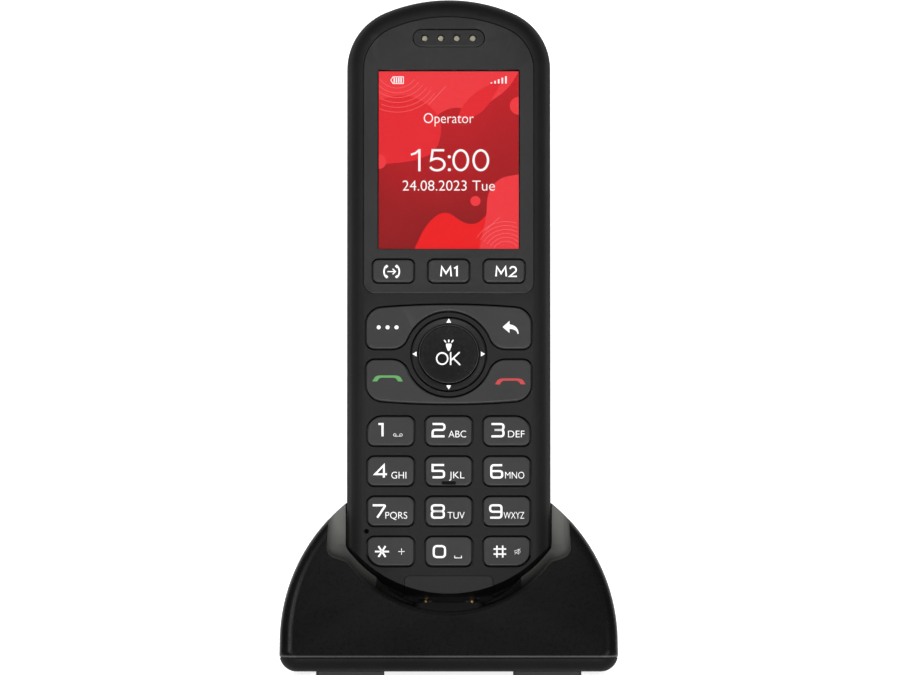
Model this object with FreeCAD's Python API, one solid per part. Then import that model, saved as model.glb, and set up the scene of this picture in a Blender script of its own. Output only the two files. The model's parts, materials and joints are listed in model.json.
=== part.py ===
"""A cordless phone handset that leans back in a small charging cradle.

Units are millimetres. The row frame has +Z up and its origin on the table under the middle of the cradle;
the front of the phone looks towards -Y. The handset's own pieces are drawn in an upright frame of their own,
x across, y from the front face (0) to the back, z up from the chin, and are then leaned back into the cradle.
"""
import FreeCAD
import Part
import math
import os

from FreeCAD import Placement, Rotation, Vector

# ---------------------------------------------------------------- driving dimensions: handset
LENGTH = 160.1            # chin to crown
WIDTH = 53.3
THICKNESS = 22.0
TOP_RADIUS = 42.2         # crown arc
TOP_CORNER = 16.5
CHIN_RADIUS = 32.6        # chin arc
CHIN_CORNER = 2.5
FRONT_ROUND = 4.4         # roll of the front edge along the sides and the crown
BACK_ROUND = 5.0
WALL = 1.8                # side and rear walls
FRONT_WALL = 2.4
SEAM_Y = 11.5             # the front and rear covers meet here
SEAM_GROOVE = 0.3

TILT = 15.0               # how far the handset leans back
CHIN_Y = -22.0            # where the chin's front edge stands in the row frame
CHIN_Z = 20.8

# ---------------------------------------------------------------- driving dimensions: face of the handset
FASCIA_INSET = 4.38
FASCIA_DROP = 1.0         # its crown lies this much lower than the even inset would put it
FASCIA_BOTTOM = 80.35
FASCIA_CORNER = 3.0
FASCIA_DEPTH = 1.2
FIT_GAP = 0.12            # between fixed pieces that are let into each other

DISPLAY_WIDTH = 36.7
DISPLAY_BOTTOM = 92.5
DISPLAY_TOP = 140.2
LENS_MARGIN = 0.3

EARPIECE_Z = 149.0
EARPIECE_WIDTH = 19.0
EARPIECE_HEIGHT = 4.95
EARPIECE_HOLES = 4
EARPIECE_PITCH = 4.2
EARPIECE_HOLE_R = 0.75

KEY_PROUD = 0.35          # key tops stand this far out of the face
KEY_GAP = 0.42            # moving gap round a key
KEY_EDGE = 0.4            # rounding of a key's top edge
FLANGE = 0.7              # how far a key's hidden lip reaches under the cover
FLANGE_TOP = 2.6
FLANGE_BOTTOM = 3.1

NUMBER_WIDTH = 12.16
NUMBER_HEIGHT = 7.76
NUMBER_PITCH_X = 15.15
NUMBER_PITCH_Z = 10.73
NUMBER_LOW_ROW_Z = 11.25
NUMBER_CORNER = 1.8
NUMBER_OUTER_CORNER = 3.9  # the four outermost corners of the number block

MEMORY_WIDTH = 10.66
MEMORY_HEIGHT = 6.06
MEMORY_PITCH = 14.5
MEMORY_Z = 86.33
MEMORY_CORNER = 1.4

NAV_Z = 64.0
OK_RADIUS = 7.75
RING_INNER = 8.0
RING_OUTER = 9.7
ROCKER_INNER = 11.62      # arc of the two rocker keys round the ring
ROCKER_HALF = 21.58
ROCKER_TOP = 13.28       # from the ring's centre to the outer edge
ROCKER_TOP_RADIUS = 205.0
ROCKER_BIG_CORNER = 4.5
ROCKER_SMALL_CORNER = 2.2
ROCKER_BLEND = 4.4
ROCKER_LOW = 1.47
ROCKER_FLANGE_DROP = 0.35  # a rocker's lip hangs lower, because its far end rises
ROCKER_PIVOT_Y = 3.3      # a round rib under the bow, on which the rocker tips
RING_PIVOT_Y = 3.15
CARRIER_PIVOT_Y = 3.75

MIC_X = -21.5
MIC_Z = 16.65
MIC_HOLE_R = 0.65

CARRIER_HALF = 11.5       # the chin's contact carrier
CARRIER_TOP = 4.67
CARRIER_BACK = 16.5
CONTACT_X = 6.0
CONTACT_Y = 11.5
CONTACT_R = 1.9
CONTACT_LOW = 0.75        # the contacts are let in a little above the chin's end face

# ---------------------------------------------------------------- driving dimensions: inside the handset
MAT_TOP = 3.9
MAT_BOTTOM = 5.15
DOMES_BOTTOM = 5.4
PCB_BOTTOM = 6.4
PCB_HALF = 21.0
SCREW_X = 23.1
SCREW_Z = (24.0, 128.0)
SCREW_HOLE_R = 1.75
SCREW_SEAT_Y = 15.0
COVER_HALF = 19.5         # battery cover
COVER_LOW = 43.0
COVER_HIGH = 108.0
COVER_CORNER = 4.0
BAY_MARGIN = 1.4
BAY_FLOOR = 12.6
BATTERY = (34.0, 6.2, 53.0)
SPEAKER_Z = 131.0
SPEAKER_R = 7.5
TORCH_Y = 14.5
TORCH_R = 2.0

# ---------------------------------------------------------------- driving dimensions: cradle
FOOT = 1.2
FOOT_SIZE = (17.8, 7.0)
FOOT_X = 25.7
FOOT_Y = 33.0
BASE_HALF = 44.5
BASE_DEPTH_HALF = 40.0
BASE_FRONT_Y = -42.05     # foot of the front plane, before its lower edge is rounded
BASE_WIDEST = 8.2         # height over the underside where the sides are widest
BASE_SIDE_RADIUS = 46.0
BASE_CROWN_RADIUS = 30.0
BASE_FOOT_CORNER = 4.6
BASE_TOP = 56.0           # where the leaning front plane and the back's arc are cut off, above the crown
BASE_BACK_TOP_Y = 8.0
BASE_BACK_STRAIGHT = 12.0
BACK_EDGE = 5.0
BASE_FRONT_LEAN = 24.0
BASE_TAPER = 0.925         # the back's outline as a share of the front's
BASE_EDGE = 3.4
SHELL = 2.0
TRAY_TOP = 3.9            # the bottom tray meets the upper shell here
TRAY_GROOVE = 0.4

POCKET_GAP = 0.32         # round the handset's foot
LINER = 1.6
SHELF_Y = 6.0             # depth of the two finger scoops, in the handset's frame
SHELF_ROUND = 2.4
TROUGH_Y = 19.5           # deepest point of the trough under the chin, in the handset's frame
TROUGH_RADIUS = 20.0      # the trough's back is hollowed to this radius
RIM_Z = 14.6              # lowest point of the mouth's rim over the underside, at the front
RIM_RADIUS = 33.0
SCOOP_LINE = (26.0, 27.9, 19.0)   # a point of the scoops' lower edge, and its rise in degrees
SCOOP_HALF = 31.9
SCOOP_CORNER = 2.8
NECK_ROUND = 3.5

PIN_R = 0.75
PIN_BODY_R = 1.25
PIN_TIP = 0.70            # top of the pins in the handset's frame, just under its contacts
PIN_BLOCK = (9.0, 3.0, 9.5)       # half width, half depth, height of the block that holds the pins
PIN_BLOCK_TOP = -0.6      # in the handset's frame, just clear of its end face
PIN_FLANGE = (12.0, 6.0, 1.8)
BARREL_R = 1.75
COIL_R = 0.95             # the springs under the pins
COIL_WIRE_R = 0.14
COIL_TURNS = 5
COIL_STEPS = 12
BASE_SCREW_X = 34.0
BASE_SCREW_Y = 27.0
BASE_PCB = (-24.0, 24.0, -4.0, 36.5)
BASE_PCB_LOW = 5.0
BASE_PCB_HIGH = 6.6
SOCKET = (8.94, 3.26, 7.4)

PARTS = {}


# ================================================================ drawing helpers
def point(x, z, radius=0.0, angle=0.0):
    a = math.radians(angle)
    return Vector(x + radius * math.cos(a), 0, z + radius * math.sin(a))


def arc_loop(arcs):
    """A closed face in the XZ plane. Each arc is (x, z, radius, start, end) in degrees; lines join them."""
    edges = []
    ends = []
    for x, z, radius, start, end in arcs:
        first = point(x, z, radius, start)
        last = point(x, z, radius, end)
        if radius > 0:
            middle = point(x, z, radius, (start + end) / 2)
            edges.append(Part.Arc(first, middle, last).toShape())
        ends.append((first, last))
    for i, (_, last) in enumerate(ends):
        following = ends[(i + 1) % len(ends)][0]
        if last.distanceToPoint(following) > 1e-5:
            edges.append(Part.LineSegment(last, following).toShape())
    return Part.Face(Part.Wire(Part.__sortEdges__(edges)))


def prism(face, y0, y1):
    """The face pushed along Y from y0 to y1."""
    moved = face.copy()
    moved.translate(Vector(0, y0, 0))
    return moved.extrude(Vector(0, y1 - y0, 0))


def rounded(x, z, width, height, radii):
    """A rectangle in the XZ plane; radii are low left, low right, high right, high left."""
    w = width / 2
    h = height / 2
    corners = [(-w, -h, 1, 1, 180), (w, -h, -1, 1, 270), (w, h, -1, -1, 0), (-w, h, 1, -1, 90)]
    arcs = [
        (x + cx + sx * r, z + cz + sz * r, r, start, start + 90)
        for (cx, cz, sx, sz, start), r in zip(corners, radii)
    ]
    return arc_loop(arcs)


def block(x0, x1, y0, y1, z0, z1):
    return Part.makeBox(x1 - x0, y1 - y0, z1 - z0, Vector(x0, y0, z0))


def rod_y(radius, x, z, y0, y1):
    return Part.makeCylinder(radius, y1 - y0, Vector(x, y0, z), Vector(0, 1, 0))


def rod_z(radius, x, y, z0, z1):
    return Part.makeCylinder(radius, z1 - z0, Vector(x, y, z0), Vector(0, 0, 1))


def turned(profile, x, z):
    """A solid turned about the Y axis through (x, z); the profile is a list of (radius, y)."""
    points = [Vector(x + r, y, z) for r, y in profile]
    face = Part.Face(Part.makePolygon(points + points[:1]))
    return face.revolve(Vector(x, 0, z), Vector(0, 1, 0), 360)


def edges_at_y(shape, y, low=-1e9):
    """The edges that lie in the plane of that y and reach above low."""
    return [
        e for e in shape.Edges
        if abs(e.BoundBox.YMin - y) < 1e-4 and abs(e.BoundBox.YMax - y) < 1e-4 and e.BoundBox.ZMax > low
    ]


def joined(*shapes):
    whole = shapes[0].multiFuse(list(shapes[1:])) if len(shapes) > 1 else shapes[0]
    return whole.removeSplitter()


def group(shapes):
    return Part.makeCompound(shapes)


def keep(name, shape):
    PARTS[name] = shape


# ================================================================ outlines of the handset
def crown_arcs(inset):
    """The crown and its two corners, anticlockwise from the right side."""
    centre_z = LENGTH - TOP_RADIUS
    corner_x = WIDTH / 2 - TOP_CORNER
    rise = math.sqrt((TOP_RADIUS - TOP_CORNER) ** 2 - corner_x ** 2)
    a = math.degrees(math.atan2(rise, corner_x))
    corner_z = centre_z + rise
    return [
        (corner_x, corner_z, TOP_CORNER - inset, 0, a),
        (0, centre_z, TOP_RADIUS - inset, a, 180 - a),
        (-corner_x, corner_z, TOP_CORNER - inset, 180 - a, 180),
    ]


def chin_arcs(inset):
    """The chin and its two corners, anticlockwise from the left side."""
    corner_x = WIDTH / 2 - CHIN_CORNER
    drop = math.sqrt((CHIN_RADIUS - CHIN_CORNER) ** 2 - corner_x ** 2)
    a = math.degrees(math.atan2(drop, corner_x))
    corner_z = CHIN_RADIUS - drop
    return [
        (-corner_x, corner_z, CHIN_CORNER - inset, 180, 180 + a),
        (0, CHIN_RADIUS, CHIN_RADIUS - inset, 180 + a, 360 - a),
        (corner_x, corner_z, CHIN_CORNER - inset, 360 - a, 360),
    ]


def handset_outline(inset):
    return arc_loop(crown_arcs(inset) + chin_arcs(inset))


def handset_body(inset, front, back, front_round, back_round):
    """The handset's outer form, or its hollow: rolled edges at the sides and crown, a crisp chin."""
    below = -20.0
    half = WIDTH / 2 - inset
    tall = arc_loop(crown_arcs(inset) + [(-half, below, 0, 0, 0), (half, below, 0, 0, 0)])
    body = prism(tall, front, back)
    body = body.makeFillet(front_round, edges_at_y(body, front, low=0))
    body = body.makeFillet(back_round, edges_at_y(body, back, low=0))
    return body.common(prism(handset_outline(inset), front - 1, back + 1))


def fascia_face(inset):
    half = WIDTH / 2 - FASCIA_INSET - inset
    low = FASCIA_BOTTOM + inset
    r = FASCIA_CORNER - inset
    crown = [(x, z - FASCIA_DROP, *rest) for x, z, *rest in crown_arcs(FASCIA_INSET + inset)]
    return arc_loop(crown + [(-half + r, low + r, r, 180, 270), (half - r, low + r, r, 270, 360)])


def carrier_face(grow):
    """The contact carrier as seen from the front: two rounded upper corners, open past the chin."""
    r = 1.3 + grow
    half = CARRIER_HALF + grow
    top = CARRIER_TOP + grow
    corners = [(half - r, top - r, r, 0, 90), (-half + r, top - r, r, 90, 180)]
    return arc_loop(corners + [(-half, -5, 0, 0, 0), (half, -5, 0, 0, 0)])


# ================================================================ keys
def number_keys():
    """(node, x, z, corner radii) of the twelve number keys."""
    names = ["1", "2", "3", "4", "5", "6", "7", "8", "9", "star", "0", "hash"]
    big = {"1": 3, "3": 2, "star": 0, "hash": 1}
    for i, name in enumerate(names):
        radii = [NUMBER_CORNER] * 4
        if name in big:
            radii[big[name]] = NUMBER_OUTER_CORNER
        x = (i % 3 - 1) * NUMBER_PITCH_X
        z = NUMBER_LOW_ROW_Z + (3 - i // 3) * NUMBER_PITCH_Z
        yield "key_" + name, x, z, radii


def number_face(x, z, radii, grow):
    return rounded(x, z, NUMBER_WIDTH + 2 * grow, NUMBER_HEIGHT + 2 * grow, [r + grow for r in radii])


def memory_face(x, grow):
    r = MEMORY_CORNER + grow
    return rounded(x, MEMORY_Z, MEMORY_WIDTH + 2 * grow, MEMORY_HEIGHT + 2 * grow, [r] * 4)


def rocker_face(grow):
    """The upper rocker: two broad ends joined by a thin bow over the ring."""
    big = ROCKER_BIG_CORNER
    big_x = ROCKER_HALF - big
    centre_z = ROCKER_TOP - ROCKER_TOP_RADIUS
    rise = math.sqrt((ROCKER_TOP_RADIUS - big) ** 2 - big_x ** 2)
    top_angle = math.degrees(math.atan2(rise, big_x))
    small = ROCKER_SMALL_CORNER
    small_x = ROCKER_HALF - small
    blend_z = ROCKER_LOW + ROCKER_BLEND
    blend_x = math.sqrt((ROCKER_INNER + ROCKER_BLEND) ** 2 - blend_z ** 2)
    blend = math.degrees(math.atan2(blend_z, blend_x))
    arcs = [
        (small_x, ROCKER_LOW + small, small + grow, 270, 360),
        (big_x, centre_z + rise, big + grow, 0, top_angle),
        (0, centre_z, ROCKER_TOP_RADIUS + grow, top_angle, 180 - top_angle),
        (-big_x, centre_z + rise, big + grow, 180 - top_angle, 180),
        (-small_x, ROCKER_LOW + small, small + grow, 180, 270),
        (-blend_x, blend_z, ROCKER_BLEND + grow, 270, 360 - blend),
        (0, 0, ROCKER_INNER - grow, 180 - blend, blend),
        (blend_x, blend_z, ROCKER_BLEND + grow, 180 + blend, 270),
    ]
    face = arc_loop(arcs)
    face.translate(Vector(0, 0, NAV_Z))
    return face


def lower(shape):
    """The same shape below the ring's centre."""
    return shape.mirror(Vector(0, 0, NAV_Z), Vector(0, 0, 1))


def key_cap(cap_face, lip_face, proud=KEY_PROUD, lip_drop=0.0):
    """A key with a rounded top edge and a hidden lip that keeps it under the cover."""
    cap = prism(cap_face, -proud, FLANGE_BOTTOM + lip_drop)
    cap = cap.makeFillet(KEY_EDGE, edges_at_y(cap, -proud))
    room = prism(handset_outline(WALL + 0.3), 0, 10)
    lip = prism(lip_face, FLANGE_TOP + lip_drop, FLANGE_BOTTOM + lip_drop).common(room)
    return joined(cap, lip)


def make_keys():
    for node, x, z, radii in number_keys():
        key = key_cap(number_face(x, z, radii, 0), number_face(x, z, radii, FLANGE))
        if node == "key_5":
            nib = prism(rounded(x, z - NUMBER_HEIGHT / 2 + 1.0, 3.6, 0.8, [0.39] * 4), -KEY_PROUD - 0.25, 0)
            key = joined(key, nib)
        keep(node, key)
    for i, node in enumerate(("key_redial", "key_memory_1", "key_memory_2")):
        x = (i - 1) * MEMORY_PITCH
        keep(node, key_cap(memory_face(x, 0), memory_face(x, FLANGE)))
    upper = key_cap(rocker_face(0), rocker_face(FLANGE), lip_drop=ROCKER_FLANGE_DROP)
    pivot = rod_z(0.55, 0, ROCKER_PIVOT_Y, NAV_Z + ROCKER_INNER, NAV_Z + ROCKER_TOP)
    upper = joined(upper, pivot)
    keep("rocker_upper", upper)
    keep("rocker_lower", lower(upper))


def make_navigation():
    ok = [
        (0, -0.35), (4.0, -0.42), (OK_RADIUS - 0.35, -0.62), (OK_RADIUS, -0.3),
        (OK_RADIUS, 2.6), (5.2, 2.6), (5.2, 3.9), (0, 3.9),
    ]
    keep("key_ok", turned(ok, 0, NAV_Z))
    lip = RING_OUTER + 0.8
    ring = [
        (RING_INNER, 0.15), (RING_INNER + 0.2, -0.05), (RING_OUTER - 0.3, -0.5), (RING_OUTER, -0.2),
        (RING_OUTER, FLANGE_TOP + 0.15), (lip, FLANGE_TOP + 0.15),
        (lip, FLANGE_BOTTOM), (RING_INNER, FLANGE_BOTTOM),
    ]
    rib_starts = (NAV_Z + RING_INNER + 0.1, NAV_Z - RING_INNER - 1.3)
    ribs = [rod_z(0.28, 0, RING_PIVOT_Y, z, z + 1.2) for z in rib_starts]
    keep("nav_ring", joined(turned(ring, 0, NAV_Z), *ribs))
    plate = turned([(5.6, 3.5), (8.9, 3.5), (8.9, 4.0), (5.6, 4.0)], 0, NAV_Z)
    grooves = [rod_z(0.33, 0, RING_PIVOT_Y, NAV_Z - 12, NAV_Z + 12)]
    stubs = [
        Part.makeCylinder(0.25, 1.5, Vector(s * 8.6, CARRIER_PIVOT_Y, NAV_Z), Vector(s, 0, 0))
        for s in (-1, 1)
    ]
    keep("nav_carrier", joined(plate, *stubs).cut(grooves))


# ================================================================ covers of the handset
def seam_groove():
    """A shallow groove all round where the two covers meet."""
    slab = prism(handset_outline(-1.0), SEAM_Y - SEAM_GROOVE / 2, SEAM_Y + SEAM_GROOVE / 2)
    return slab.cut(prism(handset_outline(SEAM_GROOVE), SEAM_Y - 1, SEAM_Y + 1))


def screw_columns(y0, y1, radius):
    return [rod_y(radius, s * SCREW_X, z, y0, y1) for s in (-1, 1) for z in SCREW_Z]


def make_front_cover(body, hollow):
    front = block(-40, 40, -1, SEAM_Y, -10, LENGTH + 10)
    bosses = joined(*screw_columns(PCB_BOTTOM - 1.4, SEAM_Y, 2.3)).common(body)
    shell = joined(body.common(front).cut(hollow), *bosses.Solids)
    openings = [
        prism(fascia_face(-FIT_GAP), -1, FASCIA_DEPTH),
        block(-DISPLAY_WIDTH / 2, DISPLAY_WIDTH / 2, 0, 6, DISPLAY_BOTTOM, DISPLAY_TOP),
        prism(rounded(0, EARPIECE_Z, EARPIECE_WIDTH - 3, 3.4, [1.6] * 4), 0, 6),
        prism(rocker_face(KEY_GAP), -1, 6),
        lower(prism(rocker_face(KEY_GAP), -1, 6)),
        rod_y(RING_OUTER + KEY_GAP, 0, NAV_Z, -1, 6),
        rod_y(MIC_HOLE_R, MIC_X, MIC_Z, -1, 6),
        prism(carrier_face(FIT_GAP), -1, CARRIER_BACK + FIT_GAP),
        seam_groove(),
    ]
    openings += [prism(number_face(x, z, radii, KEY_GAP), -1, 6) for _, x, z, radii in number_keys()]
    openings += [prism(memory_face((i - 1) * MEMORY_PITCH, KEY_GAP), -1, 6) for i in range(3)]
    openings += screw_columns(PCB_BOTTOM - 0.4, SEAM_Y + 1, 0.8)
    keep("front_cover", shell.cut(openings))


def bay_face(inset):
    width = 2 * (COVER_HALF - BAY_MARGIN - inset)
    height = COVER_HIGH - COVER_LOW - 2 * (BAY_MARGIN + inset)
    return rounded(0, (COVER_LOW + COVER_HIGH) / 2, width, height, [COVER_CORNER - BAY_MARGIN] * 4)


def cover_face(inset):
    width = 2 * (COVER_HALF - inset)
    height = COVER_HIGH - COVER_LOW - 2 * inset
    return rounded(0, (COVER_LOW + COVER_HIGH) / 2, width, height, [COVER_CORNER - inset] * 4)


def make_rear_cover(body, hollow):
    rear = block(-40, 40, SEAM_Y, THICKNESS + 1, -10, LENGTH + 10)
    tub = prism(bay_face(-1.0), SEAM_Y, THICKNESS - WALL)
    columns = joined(*screw_columns(SEAM_Y, THICKNESS, 2.7)).common(body)
    shell = joined(body.common(rear).cut(hollow), tub, *columns.Solids)
    cover_seat = THICKNESS - WALL * 0.6
    slots = [
        prism(
            rounded(0, SPEAKER_Z + (i - 2) * 2.4, 9.0 - abs(i - 2) * 1.6, 1.0, [0.49] * 4),
            15, THICKNESS + 1,
        )
        for i in range(5)
    ]
    openings = [
        prism(cover_face(-FIT_GAP), cover_seat, THICKNESS + 1),
        prism(bay_face(0), BAY_FLOOR, THICKNESS + 1),
        prism(carrier_face(FIT_GAP), SEAM_Y - 1, CARRIER_BACK + FIT_GAP),
        rod_z(TORCH_R + FIT_GAP, 0, TORCH_Y, LENGTH - 4, LENGTH + 1),
        seam_groove(),
        rod_y(0.9, 0, COVER_LOW + 4.5, SEAM_Y - 1, BAY_FLOOR + 1),
    ]
    openings += slots
    openings += screw_columns(SCREW_SEAT_Y, THICKNESS + 1, SCREW_HOLE_R)
    openings += screw_columns(SEAM_Y - 1, SCREW_SEAT_Y, 1.0)
    keep("rear_cover", shell.cut(openings))


def make_battery_cover():
    """The cover lies flush in the back, with a thumb notch and two clips that reach into the bay."""
    seat = THICKNESS - WALL * 0.6
    plate = prism(cover_face(0), seat, THICKNESS)
    plate = plate.makeFillet(0.35, edges_at_y(plate, THICKNESS))
    rib_face = rounded(0, (COVER_LOW + COVER_HIGH) / 2, 26, 44, [3.0] * 4)
    rib = prism(rib_face, seat - 0.5, seat)
    bay_high = COVER_HIGH - BAY_MARGIN
    clips = [
        block(-8 + 12 * i, -4 + 12 * i, seat - 2.2, seat, bay_high - 1.4, bay_high - 0.3)
        for i in range(2)
    ]
    thumb = Part.makeSphere(9.0, Vector(0, THICKNESS + 8.3, COVER_LOW + 6.5))
    keep("battery_cover", joined(plate, rib, *clips).cut(thumb))


def make_fascia():
    panel = prism(fascia_face(0), 0, FASCIA_DEPTH)
    panel = panel.makeFillet(0.2, edges_at_y(panel, 0))
    lens_width = DISPLAY_WIDTH + 2 * LENS_MARGIN
    lens_height = DISPLAY_TOP - DISPLAY_BOTTOM + 2 * LENS_MARGIN
    lens_z = (DISPLAY_TOP + DISPLAY_BOTTOM) / 2
    grille = [EARPIECE_HEIGHT / 2] * 4
    openings = [
        prism(rounded(0, lens_z, lens_width, lens_height, [0.4] * 4), -1, 2),
        prism(rounded(0, EARPIECE_Z, EARPIECE_WIDTH, EARPIECE_HEIGHT, [r - 0.01 for r in grille]), -1, 2),
    ]
    openings += [prism(memory_face((i - 1) * MEMORY_PITCH, KEY_GAP), -1, 2) for i in range(3)]
    keep("fascia_panel", panel.cut(openings))
    window = rounded(0, lens_z, lens_width - 2 * FIT_GAP, lens_height - 2 * FIT_GAP, [0.3] * 4)
    keep("display_lens", prism(window, 0.1, FASCIA_DEPTH))


def make_earpiece_grille():
    width = EARPIECE_WIDTH - 2 * FIT_GAP
    height = EARPIECE_HEIGHT - 2 * FIT_GAP
    plate = prism(rounded(0, EARPIECE_Z, width, height, [height / 2 - 0.01] * 4), 0.15, FASCIA_DEPTH)
    plate = plate.makeFillet(0.3, edges_at_y(plate, 0.15))
    holes = []
    for i in range(EARPIECE_HOLES):
        x = (i - (EARPIECE_HOLES - 1) / 2) * EARPIECE_PITCH
        flare = EARPIECE_HOLE_R + 0.35
        profile = [(0, -0.1), (flare, -0.1), (EARPIECE_HOLE_R, 0.6), (EARPIECE_HOLE_R, 2), (0, 2)]
        cone = turned(profile, x, EARPIECE_Z)
        holes.append(cone)
    keep("earpiece_grille", plate.cut(holes))


def make_contact_carrier(body, hollow):
    """The chin insert that holds the two charging contacts."""
    carrier = body.common(prism(carrier_face(0), 0, CARRIER_BACK)).cut(hollow)
    holes = [rod_z(CONTACT_R + 0.03, s * CONTACT_X, CONTACT_Y, -1, 6) for s in (-1, 1)]
    keep("contact_carrier", carrier.cut(holes))
    contacts = [rod_z(CONTACT_R, s * CONTACT_X, CONTACT_Y, CONTACT_LOW, 3.2) for s in (-1, 1)]
    keep("handset_contacts", group(contacts))


# ================================================================ inside the handset
def make_display():
    keep("lcd_module", block(-19.8, 19.8, FRONT_WALL + 0.55, 5.25, DISPLAY_BOTTOM - 1.2, DISPLAY_TOP + 4.0))
    frame = block(-19.6, 19.6, FRONT_WALL, FRONT_WALL + 0.5, DISPLAY_BOTTOM - 1.0, DISPLAY_TOP + 1.2)
    half = DISPLAY_WIDTH / 2 + 0.2
    hole = block(-half, half, 0, 6, DISPLAY_BOTTOM - 0.2, DISPLAY_TOP + 0.2)
    keep("display_gasket", frame.cut(hole))
    tail = block(-6, 6, PCB_BOTTOM, PCB_BOTTOM + 0.2, 150.4, 151.6)
    bend = block(-6, 6, FRONT_WALL + 3.05, PCB_BOTTOM + 0.2, 151.6, 151.8)
    head = block(-6, 6, FRONT_WALL + 3.05, FRONT_WALL + 3.2, DISPLAY_TOP + 4.2, 151.6)
    keep("display_flex", joined(tail, bend, head))


def make_keypad_mat():
    """A silicone mat under the keys with a raised pad for each, and the sheet of snap domes below it."""
    mat = prism(rounded(0, 41.5, 42.0, 72.0, [3.0, 3.0, 3.0, 3.0]), MAT_TOP + 0.45, MAT_BOTTOM)
    pads = [rod_y(2.2, x, z, MAT_TOP, MAT_BOTTOM) for _, x, z, _ in number_keys()]
    corners = [(s * 16.5, NAV_Z + t * 6.5) for s in (-1, 1) for t in (-1, 1)]
    pads += [rod_y(1.6, x, z, MAT_TOP + 0.05, MAT_BOTTOM) for x, z in corners]
    mic_room = block(-30, MIC_X + 2.4, 0, 10, MIC_Z - 2.2, MIC_Z + 2.2)
    chin_room = prism(handset_outline(WALL + 0.4), -1, 10)
    mat = joined(mat, *pads).common(chin_room).cut(mic_room)
    keep("keypad_mat", mat)
    sheet = prism(rounded(0, 41.5, 41.0, 71.0, [3.0] * 4), MAT_BOTTOM, DOMES_BOTTOM)
    vents = [rod_y(0.6, x + 5.5, z, 0, 10) for _, x, z, _ in number_keys() if x < 10]
    keep("dome_sheet", sheet.common(chin_room).cut([mic_room] + vents))


def make_boards():
    room = prism(handset_outline(WALL + 2.6), 0, 20)
    board = block(-PCB_HALF, PCB_HALF, DOMES_BOTTOM, PCB_BOTTOM, 6.5, 150.2).common(room)
    keep("main_pcb", board)
    can = block(-17, 17, PCB_BOTTOM, PCB_BOTTOM + 2.2, 92, 122)
    can = can.makeFillet(0.5, edges_at_y(can, PCB_BOTTOM + 2.2))
    keep("shield_can", can.cut(block(-16.6, 16.6, 0, PCB_BOTTOM + 1.9, 92.4, 121.6)))
    holder = block(-14, 2, PCB_BOTTOM, PCB_BOTTOM + 2.0, 72, 88)
    keep("sim_holder", holder.cut(block(-13.2, 1.2, PCB_BOTTOM + 0.5, PCB_BOTTOM + 1.4, 71, 86)))
    keep("microphone", rod_y(1.7, MIC_X + 0.4, MIC_Z, MAT_TOP - 0.3, DOMES_BOTTOM))


def make_power_and_sound():
    width, depth, height = BATTERY
    low = (COVER_LOW + COVER_HIGH - height) / 2 + 2.2
    pack = block(-width / 2, width / 2, BAY_FLOOR + 0.15, BAY_FLOOR + 0.15 + depth, low, low + height)
    pack = pack.makeFillet(1.2, [e for e in pack.Edges if e.BoundBox.ZMax - e.BoundBox.ZMin > height - 1])
    keep("battery", pack)
    blades = []
    for i in range(3):
        x = (i - 1) * 4.0
        foot = block(x - 0.8, x + 0.8, BAY_FLOOR, BAY_FLOOR + 0.3, low - 3.6, low - 0.2)
        blade = block(x - 0.8, x + 0.8, BAY_FLOOR + 0.3, BAY_FLOOR + 4.0, low - 0.5, low - 0.2)
        blades.append(joined(foot, blade))
    keep("battery_contacts", group(blades))
    back = THICKNESS - WALL
    frame = rod_y(SPEAKER_R, 0, SPEAKER_Z, back - 3.6, back)
    cone = turned([(0, back - 1.2), (3.0, back - 1.0), (6.2, back + 0.1), (0, back + 0.1)], 0, SPEAKER_Z)
    keep("loudspeaker", frame.cut(cone))
    receiver = prism(rounded(0, EARPIECE_Z, 15.0, 6.0, [2.9] * 4), FRONT_WALL, DOMES_BOTTOM - 0.2)
    keep("earpiece_speaker", receiver)
    carrier = block(-16, 16, 14.0, 15.2, 141.0, 149.0)
    keep("antenna", carrier.cut(block(-12, 12, 13, 16, 143.0, 147.0)))


def make_torch():
    """A small lamp in the crown: its lens in the rear cover and the diode behind it."""
    lens = rod_z(TORCH_R, 0, TORCH_Y, LENGTH - 2.6, LENGTH - 0.25)
    dome = Part.makeSphere(4.0, Vector(0, TORCH_Y, LENGTH - 3.9))
    keep("torch_lens", lens.common(dome))
    keep("torch_led", block(-1.6, 1.6, TORCH_Y - 1.6, TORCH_Y + 1.6, LENGTH - 4.6, LENGTH - 3.0))


def make_handset_screws():
    screws = []
    for s in (-1, 1):
        for z in SCREW_Z:
            head = rod_y(1.6, s * SCREW_X, z, SCREW_SEAT_Y, SCREW_SEAT_Y + 1.2)
            x = s * SCREW_X
            slot_y = SCREW_SEAT_Y + 0.6
            head = head.cut(block(x - 1.0, x + 1.0, slot_y, 20, z - 0.2, z + 0.2))
            head = head.cut(block(x - 0.2, x + 0.2, slot_y, 20, z - 1.0, z + 1.0))
            shank = rod_y(0.78, s * SCREW_X, z, PCB_BOTTOM + 0.2, SCREW_SEAT_Y)
            screws.append(joined(head, shank))
    keep("handset_screws", group(screws))


# ================================================================ cradle
def bell(y, share, inset):
    """The cradle's outline seen from the front, at depth y: flat foot, round lower corners, arched sides."""
    half = BASE_HALF * share
    side = BASE_SIDE_RADIUS * share
    crown = BASE_CROWN_RADIUS * share
    corner = BASE_FOOT_CORNER
    side_x = half - side
    side_z = BASE_WIDEST
    lift = math.sqrt((side - crown) ** 2 - side_x ** 2)
    a = math.degrees(math.atan2(lift, -side_x))
    arcs = [
        (half - corner, corner, corner - inset, 270, 360),
        (side_x, side_z, side - inset, 0, a),
        (0, side_z + lift, crown - inset, a, 180 - a),
        (-side_x, side_z, side - inset, 180 - a, 180),
        (-half + corner, corner, corner - inset, 180, 270),
    ]
    wire = arc_loop(arcs).OuterWire
    wire.translate(Vector(0, y, FOOT))
    return wire


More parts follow.
